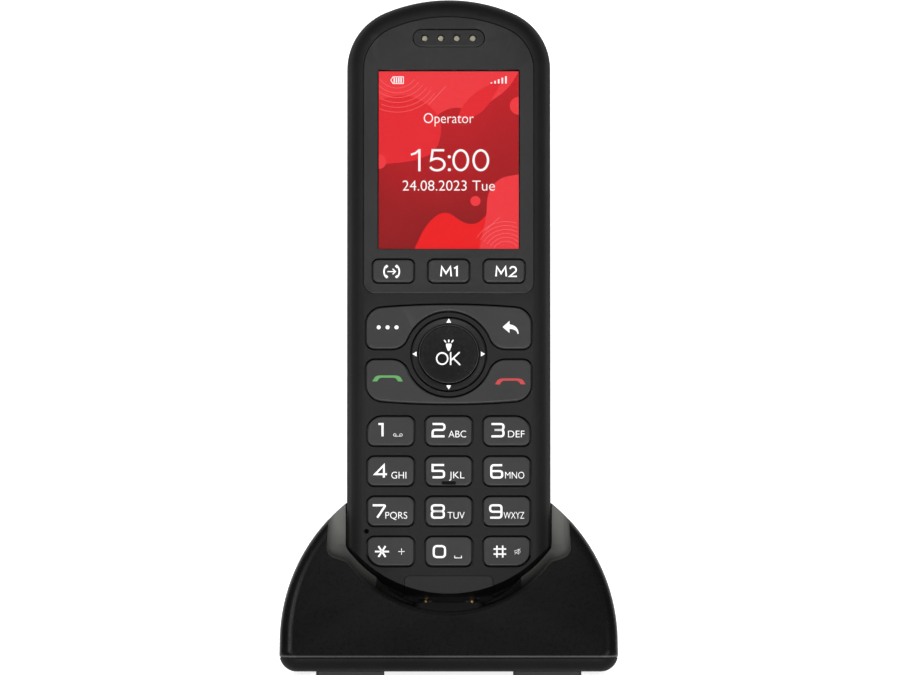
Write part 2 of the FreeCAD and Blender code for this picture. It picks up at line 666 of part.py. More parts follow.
def side_profile(inset):
    """The cradle seen from the side: a leaning front, and an upright back that arches over to the top."""
    lean = math.tan(math.radians(BASE_FRONT_LEAN))
    front = BASE_FRONT_Y + inset / math.cos(math.radians(BASE_FRONT_LEAN))
    back = BASE_DEPTH_HALF - inset
    rise = BASE_TOP - BASE_BACK_STRAIGHT
    run = BASE_DEPTH_HALF - BASE_BACK_TOP_Y
    radius = (run ** 2 + rise ** 2) / (2 * run)
    centre_y = BASE_DEPTH_HALF - radius
    reach = radius - inset
    top_y = centre_y + math.sqrt(reach ** 2 - rise ** 2)
    half_way = math.asin(rise / reach) / 2
    bulge = Vector(0, centre_y + reach * math.cos(half_way), BASE_BACK_STRAIGHT + reach * math.sin(half_way))
    corners = [
        Vector(0, back, BASE_BACK_STRAIGHT), Vector(0, back, inset), Vector(0, front + inset * lean, inset),
        Vector(0, front + BASE_TOP * lean, BASE_TOP), Vector(0, top_y, BASE_TOP),
    ]
    edges = [Part.LineSegment(a, b).toShape() for a, b in zip(corners, corners[1:])]
    edges.append(Part.Arc(corners[-1], bulge, corners[0]).toShape())
    face = Part.Face(Part.Wire(Part.__sortEdges__(edges)))
    face.translate(Vector(-BASE_HALF - 5, 0, FOOT))
    return face.extrude(Vector(2 * BASE_HALF + 10, 0, 0))


def base_body(inset, edge_round=0.0, back_round=0.0):
    ends = [bell(-BASE_DEPTH_HALF - 4, 1.0, inset), bell(BASE_DEPTH_HALF + 2, BASE_TAPER, inset)]
    hill = Part.makeLoft(ends, True, True).common(side_profile(inset))
    if edge_round > 0:
        hill = hill.makeFillet(edge_round, [e for e in hill.Edges if on_front(e)])
    if back_round > 0:
        hill = hill.makeFillet(back_round, [e for e in hill.Edges if on_back(e)])
    return hill


def on_front(edge):
    """True for an edge that lies in the leaning front plane."""
    lean = math.tan(math.radians(BASE_FRONT_LEAN))
    span = edge.LastParameter - edge.FirstParameter
    where = [edge.valueAt(edge.FirstParameter + span * t) for t in (0.1, 0.5, 0.9)]
    return all(abs(p.y - BASE_FRONT_Y - (p.z - FOOT) * lean) < 1e-3 for p in where)


def on_back(edge):
    """True for an edge between the back and the sides."""
    box = edge.BoundBox
    return box.YMin > 0 and box.ZLength > 2


def leaned(shape):
    """A shape of the handset's own frame, put in its place in the cradle."""
    placed = shape.copy()
    seat = Placement(Vector(0, CHIN_Y, CHIN_Z), Rotation(Vector(1, 0, 0), -TILT))
    placed.Placement = seat.multiply(placed.Placement)
    return placed


def goblet_face(grow):
    """The mouth seen from the front: a U under the chin that opens into two finger scoops."""
    line_x, line_z, rise = SCOOP_LINE
    along = Vector(math.cos(math.radians(rise)), 0, math.sin(math.radians(rise)))
    down = Vector(math.sin(math.radians(rise)), 0, -math.cos(math.radians(rise)))
    u_z = RIM_Z + RIM_RADIUS
    start = Vector(line_x, 0, line_z - u_z) + down * NECK_ROUND
    b = start.dot(along)
    c = start.dot(start) - (RIM_RADIUS + NECK_ROUND) ** 2
    neck = start + along * (-b + math.sqrt(b * b - c))
    neck_angle = math.degrees(math.atan2(neck.z, neck.x))
    corner_x = SCOOP_HALF - SCOOP_CORNER
    base = Vector(line_x, 0, line_z)
    step = (corner_x - base.x + down.x * SCOOP_CORNER) / along.x
    corner_z = base.z + along.z * step - down.z * SCOOP_CORNER
    right = [
        (0, u_z, RIM_RADIUS + grow, 270, 360 + neck_angle),
        (neck.x, neck.z + u_z, NECK_ROUND - grow, 180 + neck_angle, 90 + rise),
        (corner_x, corner_z, SCOOP_CORNER + grow, 270 + rise, 365),
    ]
    top = BASE_TOP + 20
    right.append((SCOOP_HALF - 3.0 + grow, top, 0, 0, 0))
    left = [(-x, z, r, 180 - end, 180 - start_a) for x, z, r, start_a, end in reversed(right)]
    return arc_loop(right + left)


def pocket(grow):
    """What is cut from the cradle: the handset's seat, and the mouth in front of it."""
    seat = leaned(prism(handset_outline(-POCKET_GAP - grow), -0.5 - grow, THICKNESS + POCKET_GAP + grow))
    mouth = goblet_face(grow)
    mouth.translate(Vector(0, -BASE_DEPTH_HALF - 5, FOOT))
    cutter = mouth.extrude(Vector(0, 2 * BASE_DEPTH_HALF, 0))
    cutter = cutter.common(leaned(block(-60, 60, -80, SHELF_Y + grow, -60, 120)))
    plane = [e for e in cutter.Edges if in_shelf_plane(e, grow) and e.BoundBox.ZMax < BASE_TOP + FOOT + 8]
    cutter = cutter.makeFillet(SHELF_ROUND + grow, plane)
    trough = rod_y(RIM_RADIUS + grow, 0, FOOT + RIM_Z + RIM_RADIUS, -BASE_DEPTH_HALF - 5, BASE_DEPTH_HALF)
    bowl = leaned(rod_z(TROUGH_RADIUS + grow, 0, TROUGH_Y - TROUGH_RADIUS, -60, 30))
    return joined(seat, cutter, trough.common(bowl))


def in_shelf_plane(edge, grow):
    normal = Rotation(Vector(1, 0, 0), -TILT).multVec(Vector(0, 1, 0))
    origin = leaned(Part.Vertex(0, SHELF_Y + grow, 0)).Point
    span = edge.LastParameter - edge.FirstParameter
    where = [edge.valueAt(edge.FirstParameter + span * t) for t in (0.1, 0.5, 0.9)]
    return all(abs((p - origin).dot(normal)) < 1e-3 for p in where)


def base_screw_places():
    return [(sx * BASE_SCREW_X, sy * BASE_SCREW_Y) for sx in (-1, 1) for sy in (-1, 1)]


def socket_outline(grow):
    r = SOCKET[1] / 2 + grow - 0.01
    width, height, _ = SOCKET
    return rounded(0, FOOT + BASE_PCB_HIGH + height / 2, width + 2 * grow, height + 2 * grow, [r] * 4)


def make_cradle():
    outer = base_body(0, BASE_EDGE, BACK_EDGE)
    inner = base_body(SHELL)
    hole = pocket(0)
    liner_outer = pocket(LINER)
    split = FOOT + TRAY_TOP
    above = block(-60, 60, -60, 60, split, 120)
    below = block(-60, 60, -60, 60, -1, split)
    skin = outer.cut(inner)
    scoop_floor = leaned(block(-60, 60, SHELF_Y - SHELF_ROUND, SHELF_Y + LINER, -60, 120)).common(liner_outer)
    liner = liner_outer.common(inner).fuse(scoop_floor.common(outer)).removeSplitter().cut(hole)
    keep("cradle_liner", liner.cut(pin_block_hole(0.3)))

    groove = outer.cut(base_body(TRAY_GROOVE)).common(block(-60, 60, -60, 60, split - TRAY_GROOVE, split))
    bosses = [
        rod_z(3.2, x, y, split, 60).common(inner).cut(liner_outer) for x, y in base_screw_places()
    ]
    shell = joined(skin.common(above), *[b.Solids[0] for b in bosses])
    socket_way = prism(socket_outline(0.35), BASE_DEPTH_HALF - 6, BASE_DEPTH_HALF + 2)
    pilots = [rod_z(1.1, x, y, split - 1, split + 9) for x, y in base_screw_places()]
    keep("base_shell", shell.cut([hole, scoop_floor, socket_way] + pilots))

    posts = [rod_z(3.0, x, y, FOOT + SHELL - 0.5, split).common(outer) for x, y in base_screw_places()]
    board_posts = [
        rod_z(2.0, x, y, FOOT + SHELL - 0.5, FOOT + BASE_PCB_LOW) for x in (-20, 20) for y in (2.0, 30.0)
    ]
    tray = joined(skin.common(below), *posts, *board_posts).cut(groove)
    ways = [rod_z(1.4, x, y, 0, split + 1) for x, y in base_screw_places()]
    ways += [rod_z(2.8, x, y, 0, FOOT + 1.8) for x, y in base_screw_places()]
    foot_seats = [foot(x, y, 0.15, FOOT - 0.01, FOOT + 0.6) for x, y in foot_places()]
    keep("base_tray", tray.cut(ways + foot_seats))


def foot_places():
    return [(sx * FOOT_X, sy * FOOT_Y) for sx in (-1, 1) for sy in (-1, 1)]


def foot(x, y, grow, z0, z1):
    width, depth = FOOT_SIZE
    reach_x = width / 2 + grow
    reach_y = depth / 2 + grow
    pad = block(x - reach_x, x + reach_x, y - reach_y, y + reach_y, z0, z1)
    return pad.makeFillet(1.0, [e for e in pad.Edges if e.BoundBox.ZMax - e.BoundBox.ZMin > z1 - z0 - 1e-4])


def make_cradle_fittings():
    keep("base_feet", group([foot(x, y, 0, 0, FOOT + 0.6) for x, y in foot_places()]))
    screws = []
    for x, y in base_screw_places():
        head = rod_z(2.5, x, y, FOOT + 0.4, FOOT + 1.8)
        head = head.cut(block(x - 1.6, x + 1.6, y - 0.3, y + 0.3, 0, FOOT + 1.1))
        head = head.cut(block(x - 0.3, x + 0.3, y - 1.6, y + 1.6, 0, FOOT + 1.1))
        screws.append(joined(head, rod_z(1.05, x, y, FOOT + 1.8, FOOT + TRAY_TOP + 7.5)))
    keep("base_screws", group(screws))
    x0, x1, y0, y1 = BASE_PCB
    keep("base_pcb", block(x0, x1, y0, y1, FOOT + BASE_PCB_LOW, FOOT + BASE_PCB_HIGH))
    back = BASE_DEPTH_HALF - 0.3
    tube = prism(socket_outline(0), back - SOCKET[2], back)
    tube = tube.cut(prism(socket_outline(-0.35), back - SOCKET[2] + 1.0, back + 1))
    z = FOOT + BASE_PCB_HIGH + SOCKET[1] / 2
    tongue = block(-3.3, 3.3, back - SOCKET[2] + 0.5, back - 0.9, z - 0.35, z + 0.35)
    keep("power_socket", joined(tube, tongue))


def pin_block_hole(grow):
    half, depth, height = PIN_BLOCK
    low = PIN_BLOCK_TOP - height
    reach = depth + grow
    face = block(-half - grow, half + grow, CONTACT_Y - reach, CONTACT_Y + reach, low, PIN_BLOCK_TOP + grow)
    return leaned(face.makeFillet(2.0, [e for e in face.Edges if e.BoundBox.ZLength > height - 0.1]))


def coil(height):
    """A spring's wire, wound round the z axis from z = 0, on a smooth curve through points of a helix."""
    turn = 2 * math.pi / COIL_STEPS
    rise = height / (COIL_TURNS * COIL_STEPS)
    places = [
        Vector(COIL_R * math.cos(turn * k), COIL_R * math.sin(turn * k), rise * k)
        for k in range(COIL_TURNS * COIL_STEPS + 1)
    ]
    path = Part.BSplineCurve()
    path.interpolate(places)
    wire_end = Part.makeCircle(COIL_WIRE_R, places[0], path.tangent(path.FirstParameter)[0])
    return Part.Wire(path.toShape()).makePipeShell([Part.Wire(wire_end)], True, False)


def make_charging_pins(liner_outer):
    """Two sprung pins under the seat: plunger and spring in a barrel, in a block let up through the liner."""
    top = PIN_BLOCK_TOP
    low = top - PIN_BLOCK[2]
    half, depth, thick = PIN_FLANGE
    centre = leaned(Part.Vertex(0, CONTACT_Y, top)).Point
    floor = FOOT + RIM_Z - LINER
    flange = block(-half, half, centre.y - depth, centre.y + depth, floor - thick, floor + 3).cut(liner_outer)
    bores = [leaned(rod_z(BARREL_R, s * CONTACT_X, CONTACT_Y, low + 1.0, top - 0.8)) for s in (-1, 1)]
    bores += [leaned(rod_z(PIN_R + 0.08, s * CONTACT_X, CONTACT_Y, low + 1.0, top + 1)) for s in (-1, 1)]
    keep("pin_block", joined(pin_block_hole(0), flange).cut(bores))
    collar_top = top - 0.8 - 0.1
    for s, side in ((-1, "left"), (1, "right")):
        x = s * CONTACT_X
        tip = rod_z(PIN_R, x, CONTACT_Y, collar_top - 0.2, PIN_TIP)
        tip = tip.makeFillet(0.35, [e for e in tip.Edges if e.BoundBox.ZMin > PIN_TIP - 1e-4])
        collar = rod_z(PIN_BODY_R, x, CONTACT_Y, collar_top - 1.2, collar_top)
        keep("charge_pin_" + side, leaned(joined(tip, collar)))
        base = low + 1.0
        height = collar_top - 1.2 - base - 0.1
        spring = coil(height - 0.3)
        spring.translate(Vector(x, CONTACT_Y, base + 0.17))
        keep("charge_spring_" + side, leaned(spring))


# ================================================================ assembly
def make_handset():
    body = handset_body(0, 0, THICKNESS, FRONT_ROUND, BACK_ROUND)
    hollow = handset_body(WALL, FRONT_WALL, THICKNESS - WALL, FRONT_ROUND - WALL, BACK_ROUND - WALL)
    make_front_cover(body, hollow)
    make_rear_cover(body, hollow)
    make_contact_carrier(body, hollow)
    make_battery_cover()
    make_fascia()
    make_earpiece_grille()
    make_keys()
    make_navigation()
    make_display()
    make_keypad_mat()
    make_boards()
    make_power_and_sound()
    make_torch()
    make_handset_screws()
    for name in list(PARTS):
        PARTS[name] = leaned(PARTS[name])


def main():
    make_handset()
    make_cradle()
    make_cradle_fittings()
    make_charging_pins(pocket(LINER))
    os.makedirs("parts", exist_ok=True)
    for name, shape in PARTS.items():
        sound = shape.isValid() and shape.Solids and all(s.isClosed() and s.Volume > 0 for s in shape.Solids)
        print(f"{name:20s} {'ok ' if sound else 'BAD'} solids {len(shape.Solids)} volume {shape.Volume:9.1f}")
        shape.exportStep(f"parts/{name}.step")


main()
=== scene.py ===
"""Looks of a cordless phone handset standing in its charging cradle.

Everything is in metres in the row's frame; the drawing of the key legends and of the display is in
millimetres on the face of the piece that carries it, and is placed on that face from its own mesh.
"""

import json
import math

import bpy
from mathutils import Matrix, Vector


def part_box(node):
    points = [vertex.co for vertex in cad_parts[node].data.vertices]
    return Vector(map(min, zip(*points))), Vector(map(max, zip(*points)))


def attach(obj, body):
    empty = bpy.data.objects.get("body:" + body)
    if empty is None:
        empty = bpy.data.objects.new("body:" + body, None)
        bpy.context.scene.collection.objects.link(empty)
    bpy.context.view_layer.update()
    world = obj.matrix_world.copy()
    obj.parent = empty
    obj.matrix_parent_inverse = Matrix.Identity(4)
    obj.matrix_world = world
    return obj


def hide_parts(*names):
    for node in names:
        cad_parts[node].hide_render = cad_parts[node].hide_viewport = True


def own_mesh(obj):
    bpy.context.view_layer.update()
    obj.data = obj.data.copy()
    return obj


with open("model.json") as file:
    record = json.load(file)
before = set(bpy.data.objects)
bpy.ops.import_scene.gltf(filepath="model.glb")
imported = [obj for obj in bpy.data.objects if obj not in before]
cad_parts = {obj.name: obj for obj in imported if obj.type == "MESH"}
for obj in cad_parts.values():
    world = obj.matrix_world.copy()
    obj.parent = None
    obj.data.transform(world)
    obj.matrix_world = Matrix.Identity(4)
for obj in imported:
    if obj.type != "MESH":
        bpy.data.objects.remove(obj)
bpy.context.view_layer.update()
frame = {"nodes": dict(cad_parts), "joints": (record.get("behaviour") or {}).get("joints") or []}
NODES = frame["nodes"]
JOINTS = {j["name"]: j for j in frame["joints"]}

MM = 0.001
ACROSS = Vector((1, 0, 0))
UP = Vector(JOINTS["handset_lift"]["axis"])          # along the handset, chin to crown
INWARD = Vector(JOINTS["key_ok_press"]["axis"])      # into the face

# ---------------------------------------------------------------- driving values
VIEW_WIDTH = 0.2357        # what the picture spans at the middle of the cradle
CAMERA_LENS = 1200.0       # so long that near parts of the object don't look bigger
CAMERA_SENSOR = 36.0
CAMERA_ELEVATION = 2.5
CAMERA_AIM = (0.00033, 0.0, 0.0868)

SWEEP_HALF = 4.0           # half the width of the paper sweep
SWEEP_FRONT = 3.0          # how far it comes forward
SWEEP_BACK = 1.2           # where it starts to bend up behind
SWEEP_BEND = 1.2           # radius of that bend
SWEEP_TOP = 4.0            # height of its upper edge
SWEEP_STEPS = 12
PAPER_GLOW = 0.9
WORLD_LIGHT = 0.14
LIGHT_AIM = (0, 0, 0.09)
# name, place, width, height, power: mostly from the front, so that the sides stay dark
LIGHTS = (
    ("key", (-1.0, -1.6, 1.5), 0.9, 0.9, 16),
    ("fill", (1.0, -1.7, 0.9), 0.7, 1.0, 8),
    ("top", (0.0, -0.6, 2.0), 1.2, 0.6, 3),
    ("front", (0.0, -2.2, 0.1), 0.6, 0.25, 26),
)

# painted shade and painted highlight over the handset's turned-over edge: how far the surface faces the front,
# 0 for a side and 1 for the face, and its share of the face's colour
ROLLED_EDGE_PAINTED_SHADE = (
    (0.0, 0.7), (0.42, 0.8), (0.55, 1.5), (0.63, 1.9), (0.74, 1.15), (0.86, 0.7), (0.93, 0.58), (0.985, 0.75),
    (1.0, 1.0),
)

# painted light and shade by height: a height in metres, a height over it, and the share of its colour that a
# piece has below the lower one
# painted light: the chin's underside, which is in shade, is five times as bright below this height
CHIN_UNDERSIDE_PAINTED_LIGHT = (0.0193, 0.0199, 5.0)
# painted highlight: a pale line along the foot of the cradle's shell
SHELL_FOOT_PAINTED_HIGHLIGHT = (0.00535, 0.00565, 14.0)
# painted shade: the lining is darker deep in the cradle's pocket
LINING_PAINTED_SHADE = (0.022, 0.036, 0.13)

PRINT_HEIGHT = 0.03        # legends stand this far over their key
STROKE = 0.55              # line width of the big digits
DIGIT_HEIGHT = 3.85
DIGIT_ROUND = 0.75
LETTER_HEIGHT = 1.85
KEY_HALF = 6.5             # half the width of a number key's opening
CORNER_STEPS = 6           # points on each rounded corner of a drawn line
FONT_CAPITAL = 0.70        # height of a capital in the font's own units
DISPLAY_GLOW = 1.08
LAYER_STEP = 0.012         # each layer of the display's picture stands this far over the one below
# on each key: left edge and width of the digit, the small letters, their left edge and width
NUMBER_PRINT = {
    "1": (3.0, 1.6, "", 0, 0),
    "2": (2.0, 3.67, "ABC", 6.44, 4.6),
    "3": (2.25, 3.7, "DEF", 6.86, 4.3),
    "4": (2.1, 3.67, "GHI", 6.65, 3.9),
    "5": (2.0, 3.56, "JKL", 6.6, 4.0),
    "6": (2.2, 3.4, "MNO", 6.1, 5.0),
    "7": (1.5, 3.9, "PQRS", 5.1, 5.7),
    "8": (1.8, 3.7, "TUV", 6.2, 4.45),
    "9": (1.9, 3.5, "WXYZ", 5.7, 5.4),
    "0": (2.3, 3.5, "", 0, 0),
}


# ================================================================ shader helpers
def new_material(name):
    material = bpy.data.materials.new(name)
    material.use_nodes = True
    tree = material.node_tree
    tree.nodes.clear()
    output = tree.nodes.new("ShaderNodeOutputMaterial")
    shader = tree.nodes.new("ShaderNodeBsdfPrincipled")
    tree.links.new(shader.outputs[0], output.inputs[0])
    return material, tree, shader


def add(tree, kind, inputs=None, **settings):
    node = tree.nodes.new(kind)
    for key, value in settings.items():
        setattr(node, key, value)
    for key, value in (inputs or {}).items():
        if hasattr(value, "is_output"):
            tree.links.new(value, node.inputs[key])
        else:
            node.inputs[key].default_value = value
    return node


def noise(tree, scale, detail=3.0, stretch=(1, 1, 1)):
    """Noise in the piece's own metres; the output runs from 0 to 1."""
    place = add(tree, "ShaderNodeTexCoord")
    mapping = add(tree, "ShaderNodeMapping", {"Vector": place.outputs["Object"], "Scale": stretch})
    inputs = {"Vector": mapping.outputs[0], "Scale": scale, "Detail": detail}
    return add(tree, "ShaderNodeTexNoise", inputs).outputs["Fac"]


def between(tree, factor, low, high, start=0.3, end=0.7):
    """A value that goes from low to high as the factor goes from start to end."""
    inputs = {"Value": factor, "From Min": start, "From Max": end, "To Min": low, "To Max": high}
    return add(tree, "ShaderNodeMapRange", inputs).outputs[0]


def tint(tree, factor, dark, light):
    node = add(tree, "ShaderNodeMix", {"Factor": factor}, data_type="RGBA")
    node.inputs[6].default_value = (*dark, 1)
    node.inputs[7].default_value = (*light, 1)
    return node.outputs[2]


def plastic(
    name, colour, rough, grain=900.0, bump=0.12, specular=0.3, coat=0.0, wear=0.12, painted_light_by_height=None, painted_edge_shade=False
):
    """Moulded plastic: fine grain in the bump and the roughness, slow colour drift, rubbed lighter edges.

    painted_light_by_height = (low height, high height, share) paints light (share over 1) and shade (share
    under 1) by height: it brings the piece to that share of its colour below the low height.
    painted_edge_shade paints shade over the turned-over edge of the handset's face, with a painted highlight
    line outside it.
    """
    material, tree, shader = new_material(name)
    slow = noise(tree, 60.0, 2.0)
    fine = noise(tree, grain * 4, 4.0)
    dark = [c * (1 - wear) for c in colour]
    light = [min(1.0, c * (1 + wear) + 0.001) for c in colour]
    base = tint(tree, between(tree, slow, 0, 1), dark, light)
    edge = add(tree, "ShaderNodeNewGeometry").outputs["Pointiness"]
    rubbed = between(tree, edge, 0, 0.5, 0.52, 0.6)
    blend = add(tree, "ShaderNodeMix", {"Factor": rubbed, 6: base}, data_type="RGBA")
    blend.inputs[7].default_value = (*[min(1.0, c * 1.6 + 0.004) for c in colour], 1)
    shade = blend.outputs[2]
    # painted light and shade by height
    if painted_light_by_height:
        place = add(tree, "ShaderNodeTexCoord")
        height = add(tree, "ShaderNodeSeparateXYZ", {0: place.outputs["Object"]}).outputs["Z"]
        shade = toned(tree, shade, between(tree, height, painted_light_by_height[2], 1.0, painted_light_by_height[0], painted_light_by_height[1]))
    # painted shade over the turned-over edge and a painted highlight line outside it
    if painted_edge_shade:
        shade = toned(tree, shade, painted_edge_shade_share(tree))
    tree.links.new(shade, shader.inputs["Base Color"])
    scratch = noise(tree, 900.0, 6.0)
    mixed = add(tree, "ShaderNodeMath", {0: fine, 1: scratch}, operation="MULTIPLY").outputs[0]
    spread = between(tree, mixed, max(0.03, rough - 0.05), rough + 0.06, 0.1, 0.5)
    tree.links.new(spread, shader.inputs["Roughness"])
    relief = add(tree, "ShaderNodeBump", {"Height": fine, "Strength": bump, "Distance": 0.00004})
    tree.links.new(relief.outputs[0], shader.inputs["Normal"])
    shader.inputs["Specular IOR Level"].default_value = specular
    shader.inputs["Coat Weight"].default_value = coat
    shader.inputs["Coat Roughness"].default_value = 0.08
    return material


def toned(tree, shade, share):
    """The colour multiplied by a share."""
    node = add(tree, "ShaderNodeVectorMath", {0: shade, "Scale": share}, operation="SCALE")
    return node.outputs[0]


def painted_edge_shade_share(tree):
    """Share of the colour over the turned-over edge, by how far the surface turns away from the handset's face:
    painted shade on the turn and a painted highlight line outside it.
    """
    normal = add(tree, "ShaderNodeNewGeometry").outputs["Normal"]
    facing = add(tree, "ShaderNodeVectorMath", {0: normal, 1: -INWARD}, operation="DOT_PRODUCT")
    ramp = add(tree, "ShaderNodeValToRGB", {0: facing.outputs["Value"]})
    stops = ramp.color_ramp.elements
    for place, share in ROLLED_EDGE_PAINTED_SHADE[1:-1]:
        stops.new(place)
    for stop, (place, share) in zip(stops, ROLLED_EDGE_PAINTED_SHADE):
        stop.position = place
        stop.color = (share / 2, share / 2, share / 2, 1)
    return add(tree, "ShaderNodeMath", {0: ramp.outputs[0], 1: 2.0}, operation="MULTIPLY").outputs[0]


def metal(name, colour, rough, brushed=(1, 1, 1)):
    """Plated or drawn metal with brush lines along one direction and faint stains."""
    material, tree, shader = new_material(name)
    lines = noise(tree, 2500.0, 4.0, brushed)
    stains = noise(tree, 240.0, 5.0)
    base = tint(tree, between(tree, stains, 0, 1, 0.35, 0.75), [c * 0.82 for c in colour], colour)
    tree.links.new(base, shader.inputs["Base Color"])
    tree.links.new(between(tree, lines, rough - 0.08, rough + 0.1), shader.inputs["Roughness"])
    relief = add(tree, "ShaderNodeBump", {"Height": lines, "Strength": 0.1, "Distance": 0.00003})
    tree.links.new(relief.outputs[0], shader.inputs["Normal"])
    shader.inputs["Metallic"].default_value = 1.0
    return material


def rubber(name, colour, rough=0.75):
    """Soft moulding with a pitted skin."""
    material, tree, shader = new_material(name)
    pits = add(tree, "ShaderNodeTexVoronoi", {"Scale": 2600.0})
    place = add(tree, "ShaderNodeTexCoord")
    tree.links.new(place.outputs["Object"], pits.inputs["Vector"])
    dust = noise(tree, 420.0, 6.0)
    base = tint(tree, between(tree, dust, 0, 1, 0.45, 0.8), colour, [min(1, c * 1.5 + 0.01) for c in colour])
    tree.links.new(base, shader.inputs["Base Color"])
    inputs = {"Height": pits.outputs["Distance"], "Strength": 0.25, "Distance": 0.00005}
    relief = add(tree, "ShaderNodeBump", inputs)
    tree.links.new(relief.outputs[0], shader.inputs["Normal"])
    tree.links.new(between(tree, dust, rough - 0.08, rough + 0.08), shader.inputs["Roughness"])
    return material


def clear_plastic(name, colour, rough):
    """Transparent moulding with fine hairlines in its polish."""
    material, tree, shader = new_material(name)
    hair = noise(tree, 700.0, 6.0, (1, 1, 9))
    tree.links.new(between(tree, hair, rough, rough + 0.05, 0.5, 0.8), shader.inputs["Roughness"])
    shade = tint(tree, between(tree, hair, 0, 1), [c * 0.97 for c in colour], colour)
    tree.links.new(shade, shader.inputs["Base Color"])
    shader.inputs["Transmission Weight"].default_value = 1.0
    shader.inputs["IOR"].default_value = 1.46
    shader.inputs["Specular IOR Level"].default_value = 0.06
    return material


def board(name):
    """Circuit board: green mask over a copper pour, with tracks and bright pads."""
    material, tree, shader = new_material(name)
    place = add(tree, "ShaderNodeTexCoord")
    tracks = add(
        tree, "ShaderNodeTexBrick", {"Vector": place.outputs["Object"], "Scale": 260.0, "Mortar Size": 0.03},
        offset=0.35,
    )
    base = tint(tree, tracks.outputs["Fac"], (0.012, 0.09, 0.035), (0.03, 0.19, 0.07))
    pads = add(tree, "ShaderNodeTexVoronoi", {"Vector": place.outputs["Object"], "Scale": 320.0})
    spots = between(tree, pads.outputs["Distance"], 1, 0, 0.14, 0.17)
    mix = add(tree, "ShaderNodeMix", {"Factor": spots, 6: base}, data_type="RGBA")
    mix.inputs[7].default_value = (0.65, 0.6, 0.5, 1)
    tree.links.new(mix.outputs[2], shader.inputs["Base Color"])
    tree.links.new(between(tree, spots, 0.38, 0.25, 0, 1), shader.inputs["Roughness"])
    tree.links.new(spots, shader.inputs["Metallic"])
    inputs = {"Height": tracks.outputs["Fac"], "Strength": 0.3, "Distance": 0.00004}
    relief = add(tree, "ShaderNodeBump", inputs)
    tree.links.new(relief.outputs[0], shader.inputs["Normal"])
    return material


def ink(name, colour, glow=0.0):
    """Printed or lit colour with a faint screen-print mottle."""
    material, tree, shader = new_material(name)
    mottle = noise(tree, 5200.0, 2.0)
    base = tint(tree, between(tree, mottle, 0, 1), [c * 0.93 for c in colour], colour)
    shader.inputs["Roughness"].default_value = 0.5
    if glow == 0:
        tree.links.new(base, shader.inputs["Base Color"])
    else:
        shader.inputs["Base Color"].default_value = (0.004, 0.004, 0.004, 1)
        tree.links.new(base, shader.inputs["Emission Color"])
        shader.inputs["Emission Strength"].default_value = glow
        shader.inputs["Specular IOR Level"].default_value = 0.0
    return material


def dress(material, *names):
    """Gives CAD nodes a finished material."""
    for name in names:
        mesh = NODES[name].data
        mesh.materials.clear()
        mesh.materials.append(material)


# ================================================================ flat drawing
def softened(points, radius, closed=False):
    """The line with its corners rounded; radius is one number or one per point."""
    count = len(points)
    radii = radius if isinstance(radius, (list, tuple)) else [radius] * count
    line = []
    for i, here in enumerate(points):
        ends = not closed and i in (0, count - 1)
        if ends or radii[i] <= 0:
            line.append(here)
            continue
        before = points[i - 1]
        after = points[(i + 1) % count]
        arm_in = min(radii[i], math.dist(here, before) / 2)
        arm_out = min(radii[i], math.dist(here, after) / 2)
        start = [h + (b - h) * arm_in / math.dist(here, before) for h, b in zip(here, before)]
        stop = [h + (a - h) * arm_out / math.dist(here, after) for h, a in zip(here, after)]
        for k in range(CORNER_STEPS + 1):
            t = k / CORNER_STEPS
            shares = ((1 - t) ** 2, 2 * t * (1 - t), t * t)
            line.append(tuple(sum(a * b for a, b in zip(shares, three)) for three in zip(start, here, stop)))
    return line


def ribbon(line, width, closed=False):
    """A band of that width along a flat line: (points, faces)."""
    count = len(line)
    points = []
    for i, (x, y) in enumerate(line):
        before = line[i - 1] if closed or i > 0 else line[0]
        after = line[(i + 1) % count] if closed or i < count - 1 else line[-1]
        ways = []
        for a, b in ((before, (x, y)), ((x, y), after)):
            length = math.dist(a, b)
            if length > 1e-9:
                ways.append(((b[0] - a[0]) / length, (b[1] - a[1]) / length))
        tx = sum(w[0] for w in ways)
        ty = sum(w[1] for w in ways)
        size = math.hypot(tx, ty) or 1.0
        tx, ty = tx / size, ty / size
        stretch = min(2.2, 1 / max(0.3, abs(ways[0][0] * tx + ways[0][1] * ty)))
        half = width / 2 * stretch
        points += [(x - ty * half, y + tx * half), (x + ty * half, y - tx * half)]
    spans = count if closed else count - 1
    faces = []
    for i in range(spans):
        a = 2 * i
        b = 2 * ((i + 1) % count)
        faces.append((a, a + 1, b + 1, b))
    return points, faces


def ellipse(x, y, half_x, half_y, steps):
    angles = [2 * math.pi * k / steps for k in range(steps)]
    return [(x + half_x * math.cos(a), y + half_y * math.sin(a)) for a in angles]


def polygon(points):
    return list(points), [tuple(range(len(points)))]


def disc(x, y, radius):
    return polygon(ellipse(x, y, radius, radius, 28))


def arc(x, y, radius, start, end, steps=16):
    angles = [math.radians(start + (end - start) * k / steps) for k in range(steps + 1)]
    return [(x + radius * math.cos(a), y + radius * math.sin(a)) for a in angles]


def moved(shapes, x, y, scale=1.0):
    return [([(px * scale + x, py * scale + y) for px, py in points], faces) for points, faces in shapes]


def span(node):
    """Lowest and highest place of a CAD node along the handset's three directions, in metres."""
    points = [v.co for v in NODES[node].data.vertices]
    return [(min(p.dot(a) for p in points), max(p.dot(a) for p in points)) for a in (ACROSS, INWARD, UP)]


def face_of(node, depth=None):
    """The frame of a node's front: x across, y up the face, z out of it."""
    across, inward, up = span(node)
    w = inward[0] if depth is None else depth
    origin = ACROSS * (sum(across) / 2) + INWARD * w + UP * (sum(up) / 2)
    turn = Matrix((ACROSS, UP, -INWARD)).transposed().to_4x4()
    return Matrix.Translation(origin) @ turn


